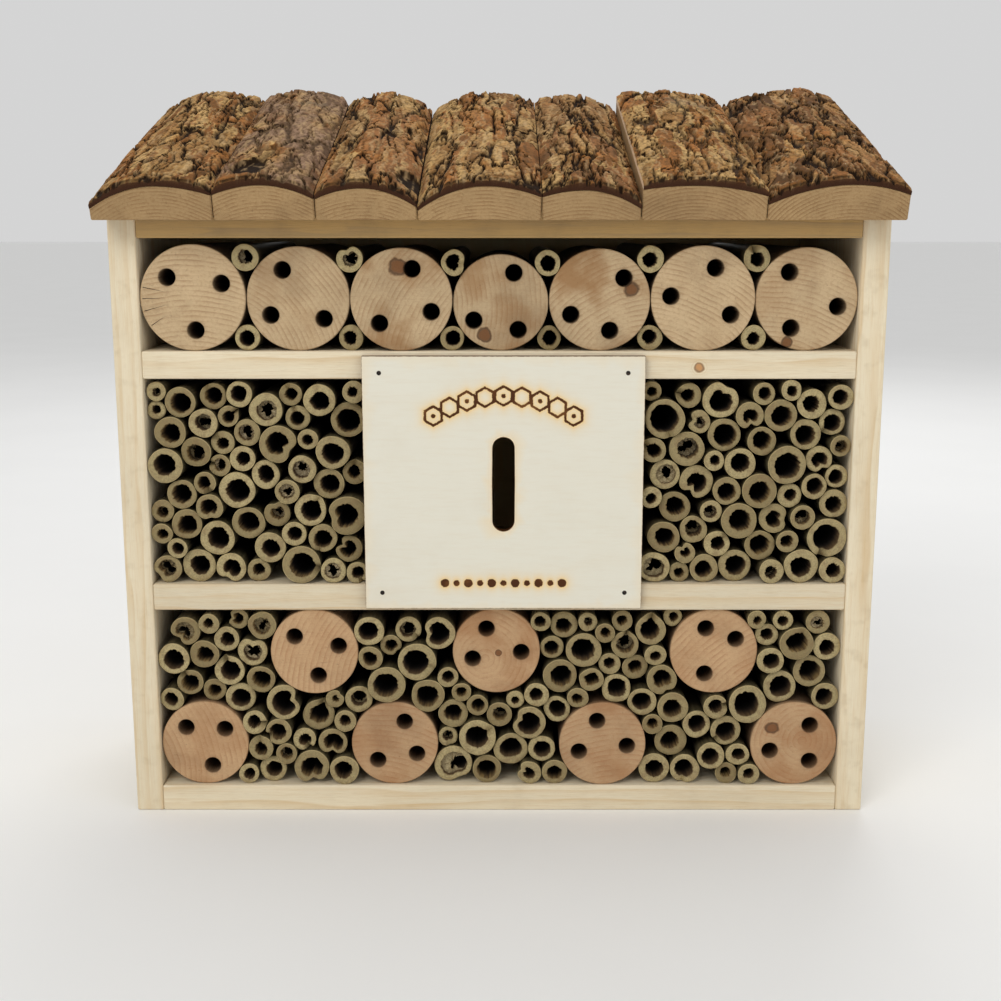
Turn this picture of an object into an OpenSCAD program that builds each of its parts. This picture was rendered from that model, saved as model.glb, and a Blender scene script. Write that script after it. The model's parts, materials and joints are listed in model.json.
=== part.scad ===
// Insect hotel: a pine box under a pitched roof of bark-edged slabs, filled with
// drilled logs and hollow canes, with a slotted plate over a butterfly chamber.
// Millimetres. The front faces -Y, and the origin is the middle of the underside.

/* [Box] */
// Width over both side boards
box_w = 360; // [300:1:440]
// Depth of the boards, front to back panel
case_d = 135; // [110:1:165]
// Thickness of every frame board
board_t = 13; // [10:0.5:16]
// Thickness of the back panel
back_t = 5; // [4:0.5:8]

/* [Rooms] */
// Clear height of the bottom room
bottom_room_h = 90; // [75:1:110]
// Clear height of the middle rooms
middle_room_h = 99; // [80:1:120]
// Clear height of the top room at its front
top_room_h = 51.5; // [42:0.5:64]

/* [Roof] */
// Slope of the roof, down to the front
pitch = 18; // [10:1:25]
// How far the roof stands out over the front
eaves = 17; // [8:1:30]
// How far the roof stands out over each side
verge = 2.4; // [1:0.1:12]
// Thickness of the bark on the slabs
bark_t = 3.6; // [2:0.1:6]
// Gap between neighbouring slabs
slab_gap = 0.4; // [0.2:0.1:1]

/* [Slot plate] */
// Width of the plate
plate_w = 132; // [110:1:158]
// Thickness of the plate
plate_t = 4; // [3:0.5:6]
// How far the plate laps over each shelf edge
plate_lap = 11; // [7:0.5:12]
// How far the plate sits right of the middle
plate_shift = 2; // [-5:0.5:5]
// Width of the butterfly slot
slot_w = 10.5; // [8:0.5:14]
// Length of the butterfly slot
slot_l = 45; // [36:1:60]

/* [Logs] */
// Diameter of the bore of each nest hole
nest_d = 8; // [4:0.5:9]
// Depth of the nest holes
nest_depth = 100; // [60:1:105]
// Distance of the nest holes from a top log's axis
top_ring_r = 15; // [10:0.5:16]
// Diameter of the logs in the bottom room
bottom_log_d = 42.6; // [36:0.2:45]
// Distance of the nest holes from a bottom log's axis
bottom_ring_r = 12.2; // [9:0.2:14]

/* [Canes] */
// Scale of the cane diameters
cane_scale = 1; // [0.8:0.01:1.2]
// Wall of a cane with no width, to which a share of its diameter is added
cane_wall = 1.6; // [1:0.1:2]
// Gap left between pieces that touch
touch_gap = 0.1; // [0.05:0.05:0.3]

/* [Nails] */
// Shank diameter of the frame nails
nail_d = 2; // [1.5:0.1:2.5]
// Length of the frame nails
nail_l = 35; // [25:1:40]
// Shank diameter of the plate brads
brad_d = 1.2; // [1:0.1:1.6]
// Length of the plate brads
brad_l = 18; // [12:1:25]

/* [Keyholes] */
// Diameter of the round part, which takes a screw's head
keyhole_d = 10; // [8:0.5:12]
// Width of the slot above it, which takes the shank
keyhole_slot_w = 5; // [4:0.5:6]
// Distance from keyhole to keyhole
keyhole_pitch = 240; // [180:1:260]

/* [Hidden] */
$fn = 64;
cut = 1;                                   // how far a cutting shape runs past what it cuts

// Logs. Diameters of the top row before they are fitted to the room
log_cut_d = [49, 48, 47.4, 44.4, 47, 48.4, 47.6];
log_count = len(log_cut_d);
log_recess = [1.5, 2.5, 1, 3, 2, 1.5, 2.5];  // how far each front face sits behind the boards
log_gap = 0.3;
log_head_room = 1;                         // at least this much above the largest top log
// Angles of each log's three nest holes, from its right-hand side
top_hole_angles = [
    [26, 141, 273], [118, 210, 322], [70, 227, 338], [66, 213, 303],
    [42, 207, 289], [69, 176, 330], [124, 243, 347]
];
bottom_hole_angles = [
    [36, 139, 285], [14, 141, 278], [66, 226, 333], [113, 199, 357],
    [103, 199, 355], [30, 110, 250], [51, 198, 312]
];
// Each bottom log: its share of the way from the middle to the side board, and its row
bottom_places = [[-1, 0], [-0.62, 1], [-0.355, 0], [-0.01, 1], [0.35, 0], [0.72, 1], [1, 0]];
bottom_count = len(bottom_places);

// Canes. Outer diameters in the order in which they go into a room
cane_cut_d = [
    13.6, 10.6, 16.4, 12.4, 14.6, 18.6, 11.4, 15.2, 13, 9.8, 17, 14, 12, 16, 10.2, 14.8,
    19.2, 12.8, 15.6, 11, 13.4, 17.6, 14.4, 12.2, 15, 10.8, 13.8, 16.8, 11.8
];
cane_recess = [2.5, 1, 4, 1.5, 3, 0.5, 5, 2, 3.5, 1.2, 2.8];
cane_wall_share = 0.09;                    // share of a cane's diameter that its wall gains
upper_cane_share = 1.04;                   // a top room's upper canes against its lower ones
small_cane_d = 9;
small_cane_step = 0.8;                     // each try at a tight place is this much of the last
small_cane_tries = 3;
kept_gap = 0.99;                           // share of the gap that a place has to keep
middle_cane_count = 70;                    // more than a room takes, so the room ends up full
bottom_cane_count = 125;
right_room_start = 7;                      // where in the list each room begins
bottom_room_start = 14;

// Slabs: width, height at the left edge, place and height of the crown, height at the right edge
slabs = [
    [55, 5.2, 30, 15.5, 11.3],
    [45.5, 11.5, 21.7, 16, 9.6],
    [45.5, 9.6, 20.8, 14.6, 5.9],
    [55.5, 4.4, 30.4, 15.6, 10.5],
    [44.5, 10.5, 18.7, 13.7, 5.2],
    [56, 13.9, 23.4, 15.8, 10.9],
    [63, 7.1, 37.8, 16.2, 11.5]
];
slab_count = len(slabs);
slab_flats = 9;                            // flats on each side of a slab's crown

// Nails
nail_head_d = 4;
nail_head_t = 1;
nail_point_l = 3;
nail_point_d = 0.4;
nail_row_share = 0.3;                      // nail rows lie this share of the depth from the middle
slab_row_share = 0.18;
back_nail_l = 22;
back_nail_x = 100;                         // outer back nails, from the middle
divider_bite = 17;                         // how deep a nail goes into what it holds
slab_bite = 8;
brad_head_d = 2.2;
brad_head_t = 0.6;
brad_point_l = 2;
brad_in = 8;                               // brads from the plate's side edges
brad_hold = 3.2;                           // brads past the shelves' inner edges

// Keyholes
keyhole_rise = 11;                         // how far a hung screw travels up the slot
keyhole_over = 12.5;                       // keyholes above the front of the ceiling

// Places across, X
inner_w = box_w - 2 * board_t;
inner_x = inner_w / 2;
plate_over = 1;                            // how far the plate laps past each divider's outer face
divider_out = plate_w / 2 - plate_over;
room_left_x = plate_shift - divider_out;   // where the left middle room ends
room_right_x = plate_shift + divider_out;  // where the right middle room begins

// Places front to back, Y
full_d = case_d + back_t;
front_y = -full_d / 2;
panel_y = front_y + case_d;                // inner face of the back panel
rear_y = full_d / 2;
case_mid_y = front_y + case_d / 2;

// Heights, Z
bottom_z = board_t;
lower_shelf_z = bottom_z + bottom_room_h;
middle_z = lower_shelf_z + board_t;
upper_shelf_z = middle_z + middle_room_h;
top_z = upper_shelf_z + board_t;
ceiling_z = top_z + top_room_h;            // underside of the roof board at the front
roof_front_z = ceiling_z + board_t / cos(pitch);
keyhole_z = ceiling_z + keyhole_over;

// Logs in place, each [x, z, radius]
log_fit_across = (inner_w - (log_count + 1) * log_gap) / sum(log_cut_d);
log_fit_up = (top_room_h - log_head_room) / max(log_cut_d);
log_fit = min(log_fit_across, log_fit_up);
top_log_d = [for (d = log_cut_d) d * log_fit];
top_log_space = (inner_w - sum(top_log_d)) / (log_count + 1);
top_logs = [
    for (i = [0 : log_count - 1])
        let (before = sum([for (k = [0 : 1 : i - 1]) top_log_d[k]]), r = top_log_d[i] / 2)
        [-inner_x + (i + 1) * top_log_space + before + r, top_z + r + touch_gap, r]
];
bottom_log_r = bottom_log_d / 2;
bottom_reach = inner_x - bottom_log_r - log_gap;
bottom_logs = [
    for (p = bottom_places)
        [
            p[0] * bottom_reach,
            p[1] == 0 ? bottom_z + bottom_log_r + touch_gap : lower_shelf_z - bottom_log_r - touch_gap,
            bottom_log_r
        ]
];

// Slabs in place
roof_w = box_w + 2 * verge;
slab_scale = roof_w / sum([for (s = slabs) s[0]]);
slab_l = (full_d + eaves) / cos(pitch);

function sum(v, i = 0) = i < len(v) ? v[i] + sum(v, i + 1) : 0;
function roof_z(y) = roof_front_z + (y - front_y) * tan(pitch);
function ceiling_at(y) = ceiling_z + (y - front_y) * tan(pitch);

// ---- Packing: canes drop one after another into the lowest free place of a room ----
// A circle is [x, z, radius], and a room is [left, right, floor, ceiling].

// Where a circle of radius r touches circles a and b
function between(a, b, r) =
    let (
        across = [b[0] - a[0], b[1] - a[1]],
        apart = norm(across),
        ra = a[2] + r + touch_gap,
        rb = b[2] + r + touch_gap
    )
    apart > ra + rb ? [] :
    let (
        along = (ra * ra - rb * rb + apart * apart) / (2 * apart),
        off = ra * ra - along * along
    )
    off < 0 ? [] :
    let (u = across / apart, h = sqrt(off))
    [for (s = [-1, 1]) [a[0] + u[0] * along - s * u[1] * h, a[1] + u[1] * along + s * u[0] * h]];

// Where it touches circle a and a side wall at x, or the floor at z
function on_wall(a, x, r) =
    let (reach = pow(a[2] + r + touch_gap, 2) - pow(x - a[0], 2))
    reach < 0 ? [] : [for (s = [-1, 1]) [x, a[1] + s * sqrt(reach)]];
function on_floor(a, z, r) =
    let (reach = pow(a[2] + r + touch_gap, 2) - pow(z - a[1], 2))
    reach < 0 ? [] : [for (s = [-1, 1]) [a[0] + s * sqrt(reach), z]];

// Whether a circle at p lies inside the room and clear of what is placed already
function is_free(p, r, room, placed) =
    p[0] >= room[0] + r && p[0] <= room[1] - r && p[1] >= room[2] + r && p[1] <= room[3] - r
    && len([for (c = placed) if (norm([c[0] - p[0], c[1] - p[1]]) < c[2] + r + touch_gap * kept_gap) 1]) == 0;

// The lowest of a list of places
function lowest(places, i = 0, best = 0) =
    i >= len(places) ? places[best] : lowest(places, i + 1, places[i][1] < places[best][1] ? i : best);

// The lowest free place for radius r, or undef
function seat(r, room, placed) =
    let (
        n = len(placed),
        left = room[0] + r + touch_gap,
        right = room[1] - r - touch_gap,
        floor_z = room[2] + r + touch_gap,
        places = [
            [left, floor_z],
            [right, floor_z],
            for (a = placed) each on_wall(a, left, r),
            for (a = placed) each on_wall(a, right, r),
            for (a = placed) each on_floor(a, floor_z, r),
            for (i = [0 : 1 : n - 2])
                for (j = [i + 1 : n - 1])
                    if (abs(placed[i][0] - placed[j][0]) < placed[i][2] + placed[j][2] + 2 * (r + touch_gap))
                        each between(placed[i], placed[j], r)
        ],
        open = [for (p = places) if (is_free(p, r, room, placed)) p]
    )
    len(open) == 0 ? undef : lowest(open);

// The first of a few shrinking radii that finds a place, with that place
function drop(r, room, placed, tries) =
    let (p = seat(r, room, placed))
    !is_undef(p) ? [[p[0], p[1], r]] :
    tries == 0 || r * small_cane_step < small_cane_d / 2 ? [] :
    drop(r * small_cane_step, room, placed, tries - 1);

// Fills a room round the logs in it, and returns the canes alone
function fill_room(room, logs, first, count) =
    let (
        rounds = [
            for (
                k = 0, placed = logs;
                k <= count;
                placed = k < count
                    ? concat(placed, drop(cane_cut_d[(first + k) % len(cane_cut_d)] * cane_scale / 2,
                        room, placed, small_cane_tries))
                    : placed,
                k = k + 1
            )
                if (k == count) placed
        ],
        all = rounds[0]
    )
    [for (i = [len(logs) : 1 : len(all) - 1]) all[i]];

// The canes of the top room: between each two logs, one on the shelf and one in the groove above
top_canes = [
    for (i = [0 : log_count - 2])
        let (
            a = top_logs[i],
            b = top_logs[i + 1],
            root_a = sqrt(a[2]),
            fit_r = pow((b[0] - a[0]) / (2 * (root_a + sqrt(b[2]))), 2),
            low_r = fit_r - touch_gap,
            high_r = fit_r * upper_cane_share,
            high = between(a, b, high_r)[1]
        )
        each [
            [a[0] + 2 * root_a * sqrt(fit_r), top_z + low_r + touch_gap, low_r],
            [high[0], high[1], high_r]
        ]
];

// ---- Boards ----

// A board between the side boards, with its underside at z
module cross_board(z) {
    translate([-inner_x, front_y, z])
        cube([inner_w, case_d, board_t]);
}

// The side view of a board whose top follows the roof, pushed out to a thickness across X
module roofed_side(x, width, y0, y1, z0) {
    translate([x, 0, 0])
        rotate([90, 0, 90])
            linear_extrude(width)
                polygon([[y0, z0], [y1, z0], [y1, roof_z(y1)], [y0, roof_z(y0)]]);
}

module side_board_left() {
    color("wheat")
        difference() {
            roofed_side(-box_w / 2, board_t, front_y, panel_y, 0);
            side_nails();
            back_nails();
        }
}

module side_board_right() {
    color("wheat")
        difference() {
            roofed_side(inner_x, board_t, front_y, panel_y, 0);
            side_nails();
            back_nails();
        }
}

module bottom_board() {
    color("wheat")
        difference() {
            cross_board(0);
            side_nails();
            back_nails();
        }
}

module lower_shelf() {
    color("wheat")
        difference() {
            cross_board(lower_shelf_z);
            side_nails();
            back_nails();
            divider_nails();
            plate_brads();
        }
}

module upper_shelf() {
    color("wheat")
        difference() {
            cross_board(upper_shelf_z);
            side_nails();
            back_nails();
            divider_nails();
            plate_brads();
        }
}

module roof_board() {
    color("burlywood")
        difference() {
            translate([-inner_x, 0, 0])
                rotate([90, 0, 90])
                    linear_extrude(inner_w)
                        polygon([
                            [front_y, ceiling_at(front_y)],
                            [panel_y, ceiling_at(panel_y)],
                            [panel_y, roof_z(panel_y)],
                            [front_y, roof_z(front_y)]
                        ]);
            side_nails();
            back_nails();
            roof_nails();
        }
}

// A keyhole through the back panel: a round hole for a screw's head, and a slot above it
module keyhole(x) {
    translate([x, panel_y - cut, keyhole_z])
        rotate([-90, 0, 0]) {
            cylinder(d = keyhole_d, h = back_t + 2 * cut);
            translate([0, -keyhole_rise, 0])
                cylinder(d = keyhole_slot_w, h = back_t + 2 * cut);
            translate([-keyhole_slot_w / 2, -keyhole_rise, 0])
                cube([keyhole_slot_w, keyhole_rise, back_t + 2 * cut]);
        }
}

module back_panel() {
    color("tan")
        difference() {
            roofed_side(-box_w / 2, box_w, panel_y, rear_y, 0);
            back_nails();
            for (s = [-1, 1])
                keyhole(s * keyhole_pitch / 2);
        }
}

// An upright between the two shelves, with its left face at x
module divider(x) {
    difference() {
        translate([x, front_y, middle_z])
            cube([board_t, case_d, middle_room_h]);
        divider_nails();
    }
}

module divider_left() {
    color("wheat")
        divider(room_left_x);
}

module divider_right() {
    color("wheat")
        divider(room_right_x - board_t);
}

// ---- Slot plate ----

plate_low_z = middle_z - plate_lap;
plate_h = middle_room_h + 2 * plate_lap;
slot_z = plate_low_z + plate_h / 2;

// The slot's outline pushed through the plate, with round ends
module slot_hole() {
    end_z = (slot_l - slot_w) / 2;
    translate([plate_shift, front_y + cut, slot_z])
        rotate([90, 0, 0]) {
            for (s = [-1, 1])
                translate([0, s * end_z, 0])
                    cylinder(d = slot_w, h = plate_t + 2 * cut);
            translate([-slot_w / 2, -end_z, 0])
                cube([slot_w, 2 * end_z, plate_t + 2 * cut]);
        }
}

module slot_plate() {
    color("beige")
        difference() {
            translate([plate_shift - plate_w / 2, front_y - plate_t, plate_low_z])
                cube([plate_w, plate_t, plate_h]);
            slot_hole();
            plate_brads();
        }
}

// ---- Roof ----

// Height of slab i's sawn wood at x from its left edge
function slab_height(i, x) =
    let (
        s = slabs[i],
        width = s[0] * slab_scale,
        crown = s[2] * slab_scale,
        side = x < crown ? s[1] : s[4],
        share = x < crown ? (crown - x) / crown : (x - crown) / (width - crown)
    )
    s[3] - (s[3] - side) * share * share;

// The rounded top of slab i from left to right, raised by a height
function slab_top(i, raise) =
    let (
        width = slabs[i][0] * slab_scale,
        crown = slabs[i][2] * slab_scale,
        left = [for (k = [0 : slab_flats]) slab_gap / 2 + (crown - slab_gap / 2) * k / slab_flats],
        right = [for (k = [1 : slab_flats]) crown + (width - slab_gap / 2 - crown) * k / slab_flats]
    )
    [for (x = concat(left, right)) [x, slab_height(i, x) + raise]];

function reversed(v) = [for (k = [len(v) - 1 : -1 : 0]) v[k]];

// Puts an outline drawn across the roof, with its height as Y, onto the slope at slab i
module on_slope(i) {
    before = sum([for (k = [0 : 1 : i - 1]) slabs[k][0]]) * slab_scale;
    translate([before - roof_w / 2, front_y - eaves, roof_z(front_y - eaves)])
        rotate([pitch, 0, 0])
            translate([0, slab_l, 0])
                rotate([90, 0, 0])
                    linear_extrude(slab_l)
                        children();
}

module roof_slab(i) {
    top = slab_top(i, 0);
    color("burlywood")
        difference() {
            on_slope(i)
                polygon(concat([[top[0][0], 0]], top, [[top[len(top) - 1][0], 0]]));
            roof_nails();
        }
}

module bark(i) {
    color("saddlebrown")
        on_slope(i)
            polygon(concat(slab_top(i, 0), reversed(slab_top(i, bark_t))));
}

// ---- Logs ----

// A log lying front to back, with blind nest holes on a ring round its axis
module nest_log(place, angles, ring_r, recess) {
    length = case_d - recess;
    difference() {
        translate([place[0], front_y + recess, place[1]])
            rotate([-90, 0, 0])
                cylinder(r = place[2], h = length);
        for (a = angles)
            translate([place[0] + ring_r * cos(a), front_y + recess - cut, place[1] + ring_r * sin(a)])
                rotate([-90, 0, 0])
                    cylinder(d = nest_d, h = nest_depth + cut);
    }
}

module top_log(i) {
    color("tan")
        nest_log(top_logs[i], top_hole_angles[i], top_ring_r * log_fit, log_recess[i]);
}

module bottom_log(i) {
    color("rosybrown")
        nest_log(bottom_logs[i], bottom_hole_angles[i], bottom_ring_r, log_recess[log_count - 1 - i]);
}

// ---- Canes ----

function cane_bore_r(r) = r - cane_wall - cane_wall_share * 2 * r;

// Hollow canes lying front to back, each with its rear end on the back panel
module canes(places) {
    color("darkkhaki")
        for (i = [0 : len(places) - 1]) {
            r = places[i][2];
            recess = cane_recess[i % len(cane_recess)];
            translate([places[i][0], front_y + recess, places[i][1]])
                rotate([-90, 0, 0])
                    difference() {
                        cylinder(r = r, h = case_d - recess);
                        translate([0, 0, -cut])
                            cylinder(r = cane_bore_r(r), h = case_d - recess + 2 * cut);
                    }
        }
}

module canes_top() {
    canes(top_canes);
}

module canes_middle_left() {
    room = [-inner_x, room_left_x, middle_z, upper_shelf_z];
    canes(fill_room(room, [], 0, middle_cane_count));
}

module canes_middle_right() {
    room = [room_right_x, inner_x, middle_z, upper_shelf_z];
    canes(fill_room(room, [], right_room_start, middle_cane_count));
}

module canes_bottom() {
    room = [-inner_x, inner_x, bottom_z, lower_shelf_z];
    canes(fill_room(room, bottom_logs, bottom_room_start, bottom_cane_count));
}

// ---- Nails ----

// A nail along Z, its head's top at the origin and its point below
module nail(d, l, head_d, head_t, point_l) {
    translate([0, 0, -head_t])
        cylinder(d = head_d, h = head_t);
    translate([0, 0, point_l - l])
        cylinder(d = d, h = l - point_l - head_t);
    translate([0, 0, -l])
        cylinder(d1 = nail_point_d, d2 = d, h = point_l);
}

module frame_nail(l) {
    nail(nail_d, l, nail_head_d, nail_head_t, nail_point_l);
}

// Two rows of nails from each side board into the end of every board between them
module side_nails() {
    color("gray")
        for (s = [-1, 1], row = [-1, 1]) {
            y = case_mid_y + row * nail_row_share * case_d;
            levels = [
                board_t / 2,
                lower_shelf_z + board_t / 2,
                upper_shelf_z + board_t / 2,
                (ceiling_at(y) + roof_z(y)) / 2
            ];
            for (z = levels)
                translate([s * box_w / 2, y, z])
                    rotate([0, s * 90, 0])
                        frame_nail(nail_l);
        }
}

// From above and below into both ends of each divider
module divider_nails() {
    length = board_t + divider_bite;
    color("gray")
        for (x = [room_left_x + board_t / 2, room_right_x - board_t / 2], row = [-1, 1]) {
            y = case_mid_y + row * nail_row_share * case_d;
            translate([x, y, top_z])
                frame_nail(length);
            translate([x, y, lower_shelf_z])
                rotate([180, 0, 0])
                    frame_nail(length);
        }
}

// Through the back panel, into the side boards and the rear edges of the boards between them
module back_nails() {
    roof_mid_z = (ceiling_at(panel_y) + roof_z(panel_y)) / 2;
    side_levels = [
        (bottom_z + lower_shelf_z) / 2,
        (middle_z + upper_shelf_z) / 2,
        (top_z + ceiling_z) / 2
    ];
    cross_levels = [board_t / 2, lower_shelf_z + board_t / 2, upper_shelf_z + board_t / 2, roof_mid_z];
    places = concat(
        [for (s = [-1, 1], z = side_levels) [s * (inner_x + board_t / 2), z]],
        [for (x = [-back_nail_x, 0, back_nail_x], z = cross_levels) [x, z]]
    );
    color("gray")
        for (p = places)
            translate([p[0], rear_y, p[1]])
                rotate([-90, 0, 0])
                    frame_nail(back_nail_l);
}

// From under the roof board, square to the slope, into the thick of every slab
module roof_nails() {
    length = board_t + slab_bite;
    color("gray")
        for (i = [0 : slab_count - 1], row = [-1, 1]) {
            before = sum([for (k = [0 : 1 : i - 1]) slabs[k][0]]);
            x = (before + slabs[i][2]) * slab_scale - roof_w / 2;
            y = case_mid_y + row * slab_row_share * case_d;
            translate([x, y, ceiling_at(y)])
                rotate([pitch + 180, 0, 0])
                    frame_nail(length);
        }
}

module plate_brads() {
    color("silver")
        for (s = [-1, 1], z = [middle_z - brad_hold, upper_shelf_z + brad_hold])
            translate([plate_shift + s * (plate_w / 2 - brad_in), front_y - plate_t, z])
                rotate([90, 0, 0])
                    nail(brad_d, brad_l, brad_head_d, brad_head_t, brad_point_l);
}

side_board_left();
side_board_right();
bottom_board();
lower_shelf();
upper_shelf();
roof_board();
back_panel();
divider_left();
divider_right();
slot_plate();
for (i = [1 : slab_count]) roof_slab(i - 1);
for (i = [1 : slab_count]) bark(i - 1);
for (i = [1 : log_count]) top_log(i - 1);
for (i = [1 : bottom_count]) bottom_log(i - 1);
canes_top();
canes_middle_left();
canes_middle_right();
canes_bottom();
side_nails();
divider_nails();
back_nails();
roof_nails();
plate_brads();
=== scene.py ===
"""An insect hotel of pine boards, bark slabs, drilled logs, hollow canes and a slotted plate."""

import json
import math
from itertools import cycle

import bmesh
import bpy
import numpy as np
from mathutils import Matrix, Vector
from mathutils.geometry import delaunay_2d_cdt


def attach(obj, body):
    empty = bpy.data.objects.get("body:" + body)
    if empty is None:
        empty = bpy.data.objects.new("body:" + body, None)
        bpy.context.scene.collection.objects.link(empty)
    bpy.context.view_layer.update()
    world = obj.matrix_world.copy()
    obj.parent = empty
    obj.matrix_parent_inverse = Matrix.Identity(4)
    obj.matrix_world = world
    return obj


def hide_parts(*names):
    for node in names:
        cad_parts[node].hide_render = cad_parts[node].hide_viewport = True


bl_info = {
    "name": "Insect Hotel",
    "version": (1, 0, 0),
    "blender": (4, 5, 0),
    "location": "View3D > Sidebar > Insect Hotel",
    "description": "Builds an insect hotel of pine boards, bark slabs, drilled logs and hollow canes",
    "category": "Add Mesh",
}

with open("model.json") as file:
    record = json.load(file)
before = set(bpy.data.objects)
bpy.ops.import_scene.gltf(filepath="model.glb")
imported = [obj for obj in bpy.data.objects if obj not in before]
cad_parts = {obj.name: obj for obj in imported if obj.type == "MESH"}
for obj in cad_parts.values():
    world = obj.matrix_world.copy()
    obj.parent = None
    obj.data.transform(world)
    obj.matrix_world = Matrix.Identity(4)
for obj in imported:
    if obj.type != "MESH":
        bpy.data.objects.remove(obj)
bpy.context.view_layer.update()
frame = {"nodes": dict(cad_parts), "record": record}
MM = 0.001
FULL_TURN = 2 * math.pi
ANY_PHASE = 6.3
CROSS_BOARDS = ("bottom_board", "lower_shelf", "upper_shelf")
DIVIDERS = ("divider_left", "divider_right")
CANE_NODES = ("canes_top", "canes_middle_left", "canes_middle_right", "canes_bottom")
NAIL_NODES = ("side_nails", "divider_nails", "back_nails", "roof_nails")


def numbered(stem):
    """The CAD nodes named stem_1, stem_2 and so on."""
    names = [n for n in frame["nodes"] if n.startswith(stem + "_") and n[len(stem) + 1 :].isdigit()]
    return sorted(names, key=lambda n: int(n[len(stem) + 1 :]))


def corners(node):
    """A CAD node's vertices in millimetres."""
    mesh = frame["nodes"][node].data
    flat = np.zeros(len(mesh.vertices) * 3)
    mesh.vertices.foreach_get("co", flat)
    return flat.reshape(-1, 3) / MM


def extent(node):
    """A CAD node's lowest and highest corners in millimetres."""
    points = corners(node)
    return points.min(0), points.max(0)


def at_depth(points, depth, slack=0.01):
    """The points that lie at one depth."""
    return points[np.abs(points[:, 1] - depth) < slack]


def islands(node):
    """The separate solids of a CAD node, each as an array of its vertices in millimetres."""
    work = bmesh.new()
    work.from_mesh(frame["nodes"][node].data)
    bmesh.ops.remove_doubles(work, verts=work.verts, dist=1e-6)
    seen = set()
    found = []
    for start in work.verts:
        if start in seen:
            continue
        stack = [start]
        seen.add(start)
        solid = []
        while stack:
            vert = stack.pop()
            solid.append(tuple(vert.co / MM))
            for edge in vert.link_edges:
                other = edge.other_vert(vert)
                if other not in seen:
                    seen.add(other)
                    stack.append(other)
        found.append(np.array(solid))
    work.free()
    return sorted(found, key=lambda g: (round(g[:, 2].mean(), 2), round(g[:, 0].mean(), 2)))


# ---- Sizes and colours ----


def length(name, description, default, low, high):
    """A length setting, given in millimetres."""
    return bpy.props.FloatProperty(
        name=name, description=description, default=default * MM, min=low * MM, max=high * MM,
        unit="LENGTH", precision=4)


def share(name, description, default, high):
    """A setting that is a share of something."""
    return bpy.props.FloatProperty(
        name=name, description=description, default=default, min=0.0, max=high, subtype="FACTOR")


def colour(name, description, default):
    """A colour setting."""
    return bpy.props.FloatVectorProperty(
        name=name, description=description, default=default, size=3, min=0.0, max=1.0, subtype="COLOR")


class HotelSizes(bpy.types.PropertyGroup):
    """Sizes of the finish that goes over the bare boards, logs and canes"""

    edge_round: length("Edge rounding", "Radius of the boards' edges", 0.9, 0.1, 3)
    bark_depth: length("Bark depth", "How far the bark's plates stand over its cracks", 5.8, 0, 8)
    bark_step: length("Bark step", "Distance between neighbouring points of the bark", 0.62, 0.4, 4)
    ring_spacing: length("Growth rings", "Distance between growth rings in the logs", 2.3, 0.5, 8)
    cane_wobble: share("Cane wobble", "Distance from round, as a share of the radius", 0.045, 0.1)
    damaged_canes: share("Damaged canes", "Share of canes that are dented or chipped", 0.34, 1.0)


class HotelColours(bpy.types.PropertyGroup):
    """Colours of the woods and canes"""

    pine: colour("Pine", "Early wood of the pine boards", (0.84, 0.740, 0.545))
    pine_late: colour("Pine rings", "Late wood of the pine boards", (0.62, 0.42, 0.20))
    plate: colour("Plate", "Face of the slotted plate", (0.76, 0.73, 0.62))
    burn: colour("Burn", "Burned edges and ornament", (0.072, 0.023, 0.006))
    slab: colour("Slab", "Sawn ends of the slabs", (0.455, 0.297, 0.138))
    bark: colour("Bark", "Middle tone of the bark", (0.27, 0.150, 0.057))
    top_log: colour("Top logs", "Sawn ends of the top row of logs", (0.62, 0.46, 0.27))
    low_log: colour("Bottom logs", "Sawn ends of the bottom logs", (0.60, 0.395, 0.215))
    cane: colour("Cane", "Cut rims of the canes", (0.355, 0.285, 0.140))


def sizes():
    return bpy.context.scene.hotel_sizes


def colours():
    return bpy.context.scene.hotel_colours


def tinted(tint, *factors):
    """A colour multiplied by one factor, or by one for each channel."""
    return [c * f for c, f in zip(tint, factors * (3 // len(factors)))]


# ---- Noise for shapes, in millimetres ----


def soft_step(value, low, high):
    """0 below low, 1 above high, and smooth between."""
    t = np.clip((value - low) / (high - low), 0.0, 1.0)
    return t * t * (3 - 2 * t)


def value_noise(x, y, seed):
    """Smooth noise from 0 to 1 that changes over about one unit."""
    table = np.random.default_rng(seed).random((97, 97))
    n = len(table)
    column, row = np.floor(x).astype(int), np.floor(y).astype(int)
    fx, fy = soft_step(x - column, 0, 1), soft_step(y - row, 0, 1)
    low, high = (
        table[column % n, r % n] * (1 - fx) + table[(column + 1) % n, r % n] * fx for r in (row, row + 1))
    return low * (1 - fy) + high * fy


def fractal(x, y, seed, octaves=4):
    """Several sizes of smooth noise together, from 0 to 1."""
    shares = [0.5**k for k in range(octaves)]
    total = sum(s * value_noise(x * 2**k, y * 2**k, seed + 31 * k) for k, s in enumerate(shares))
    return total / sum(shares)


def veins(x, y, seed, octaves, low, high):
    """1 on the thin lines where noise crosses its middle, and 0 away from them."""
    return 1 - soft_step(np.abs(fractal(x, y, seed, octaves) - 0.5), low, high)


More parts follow.
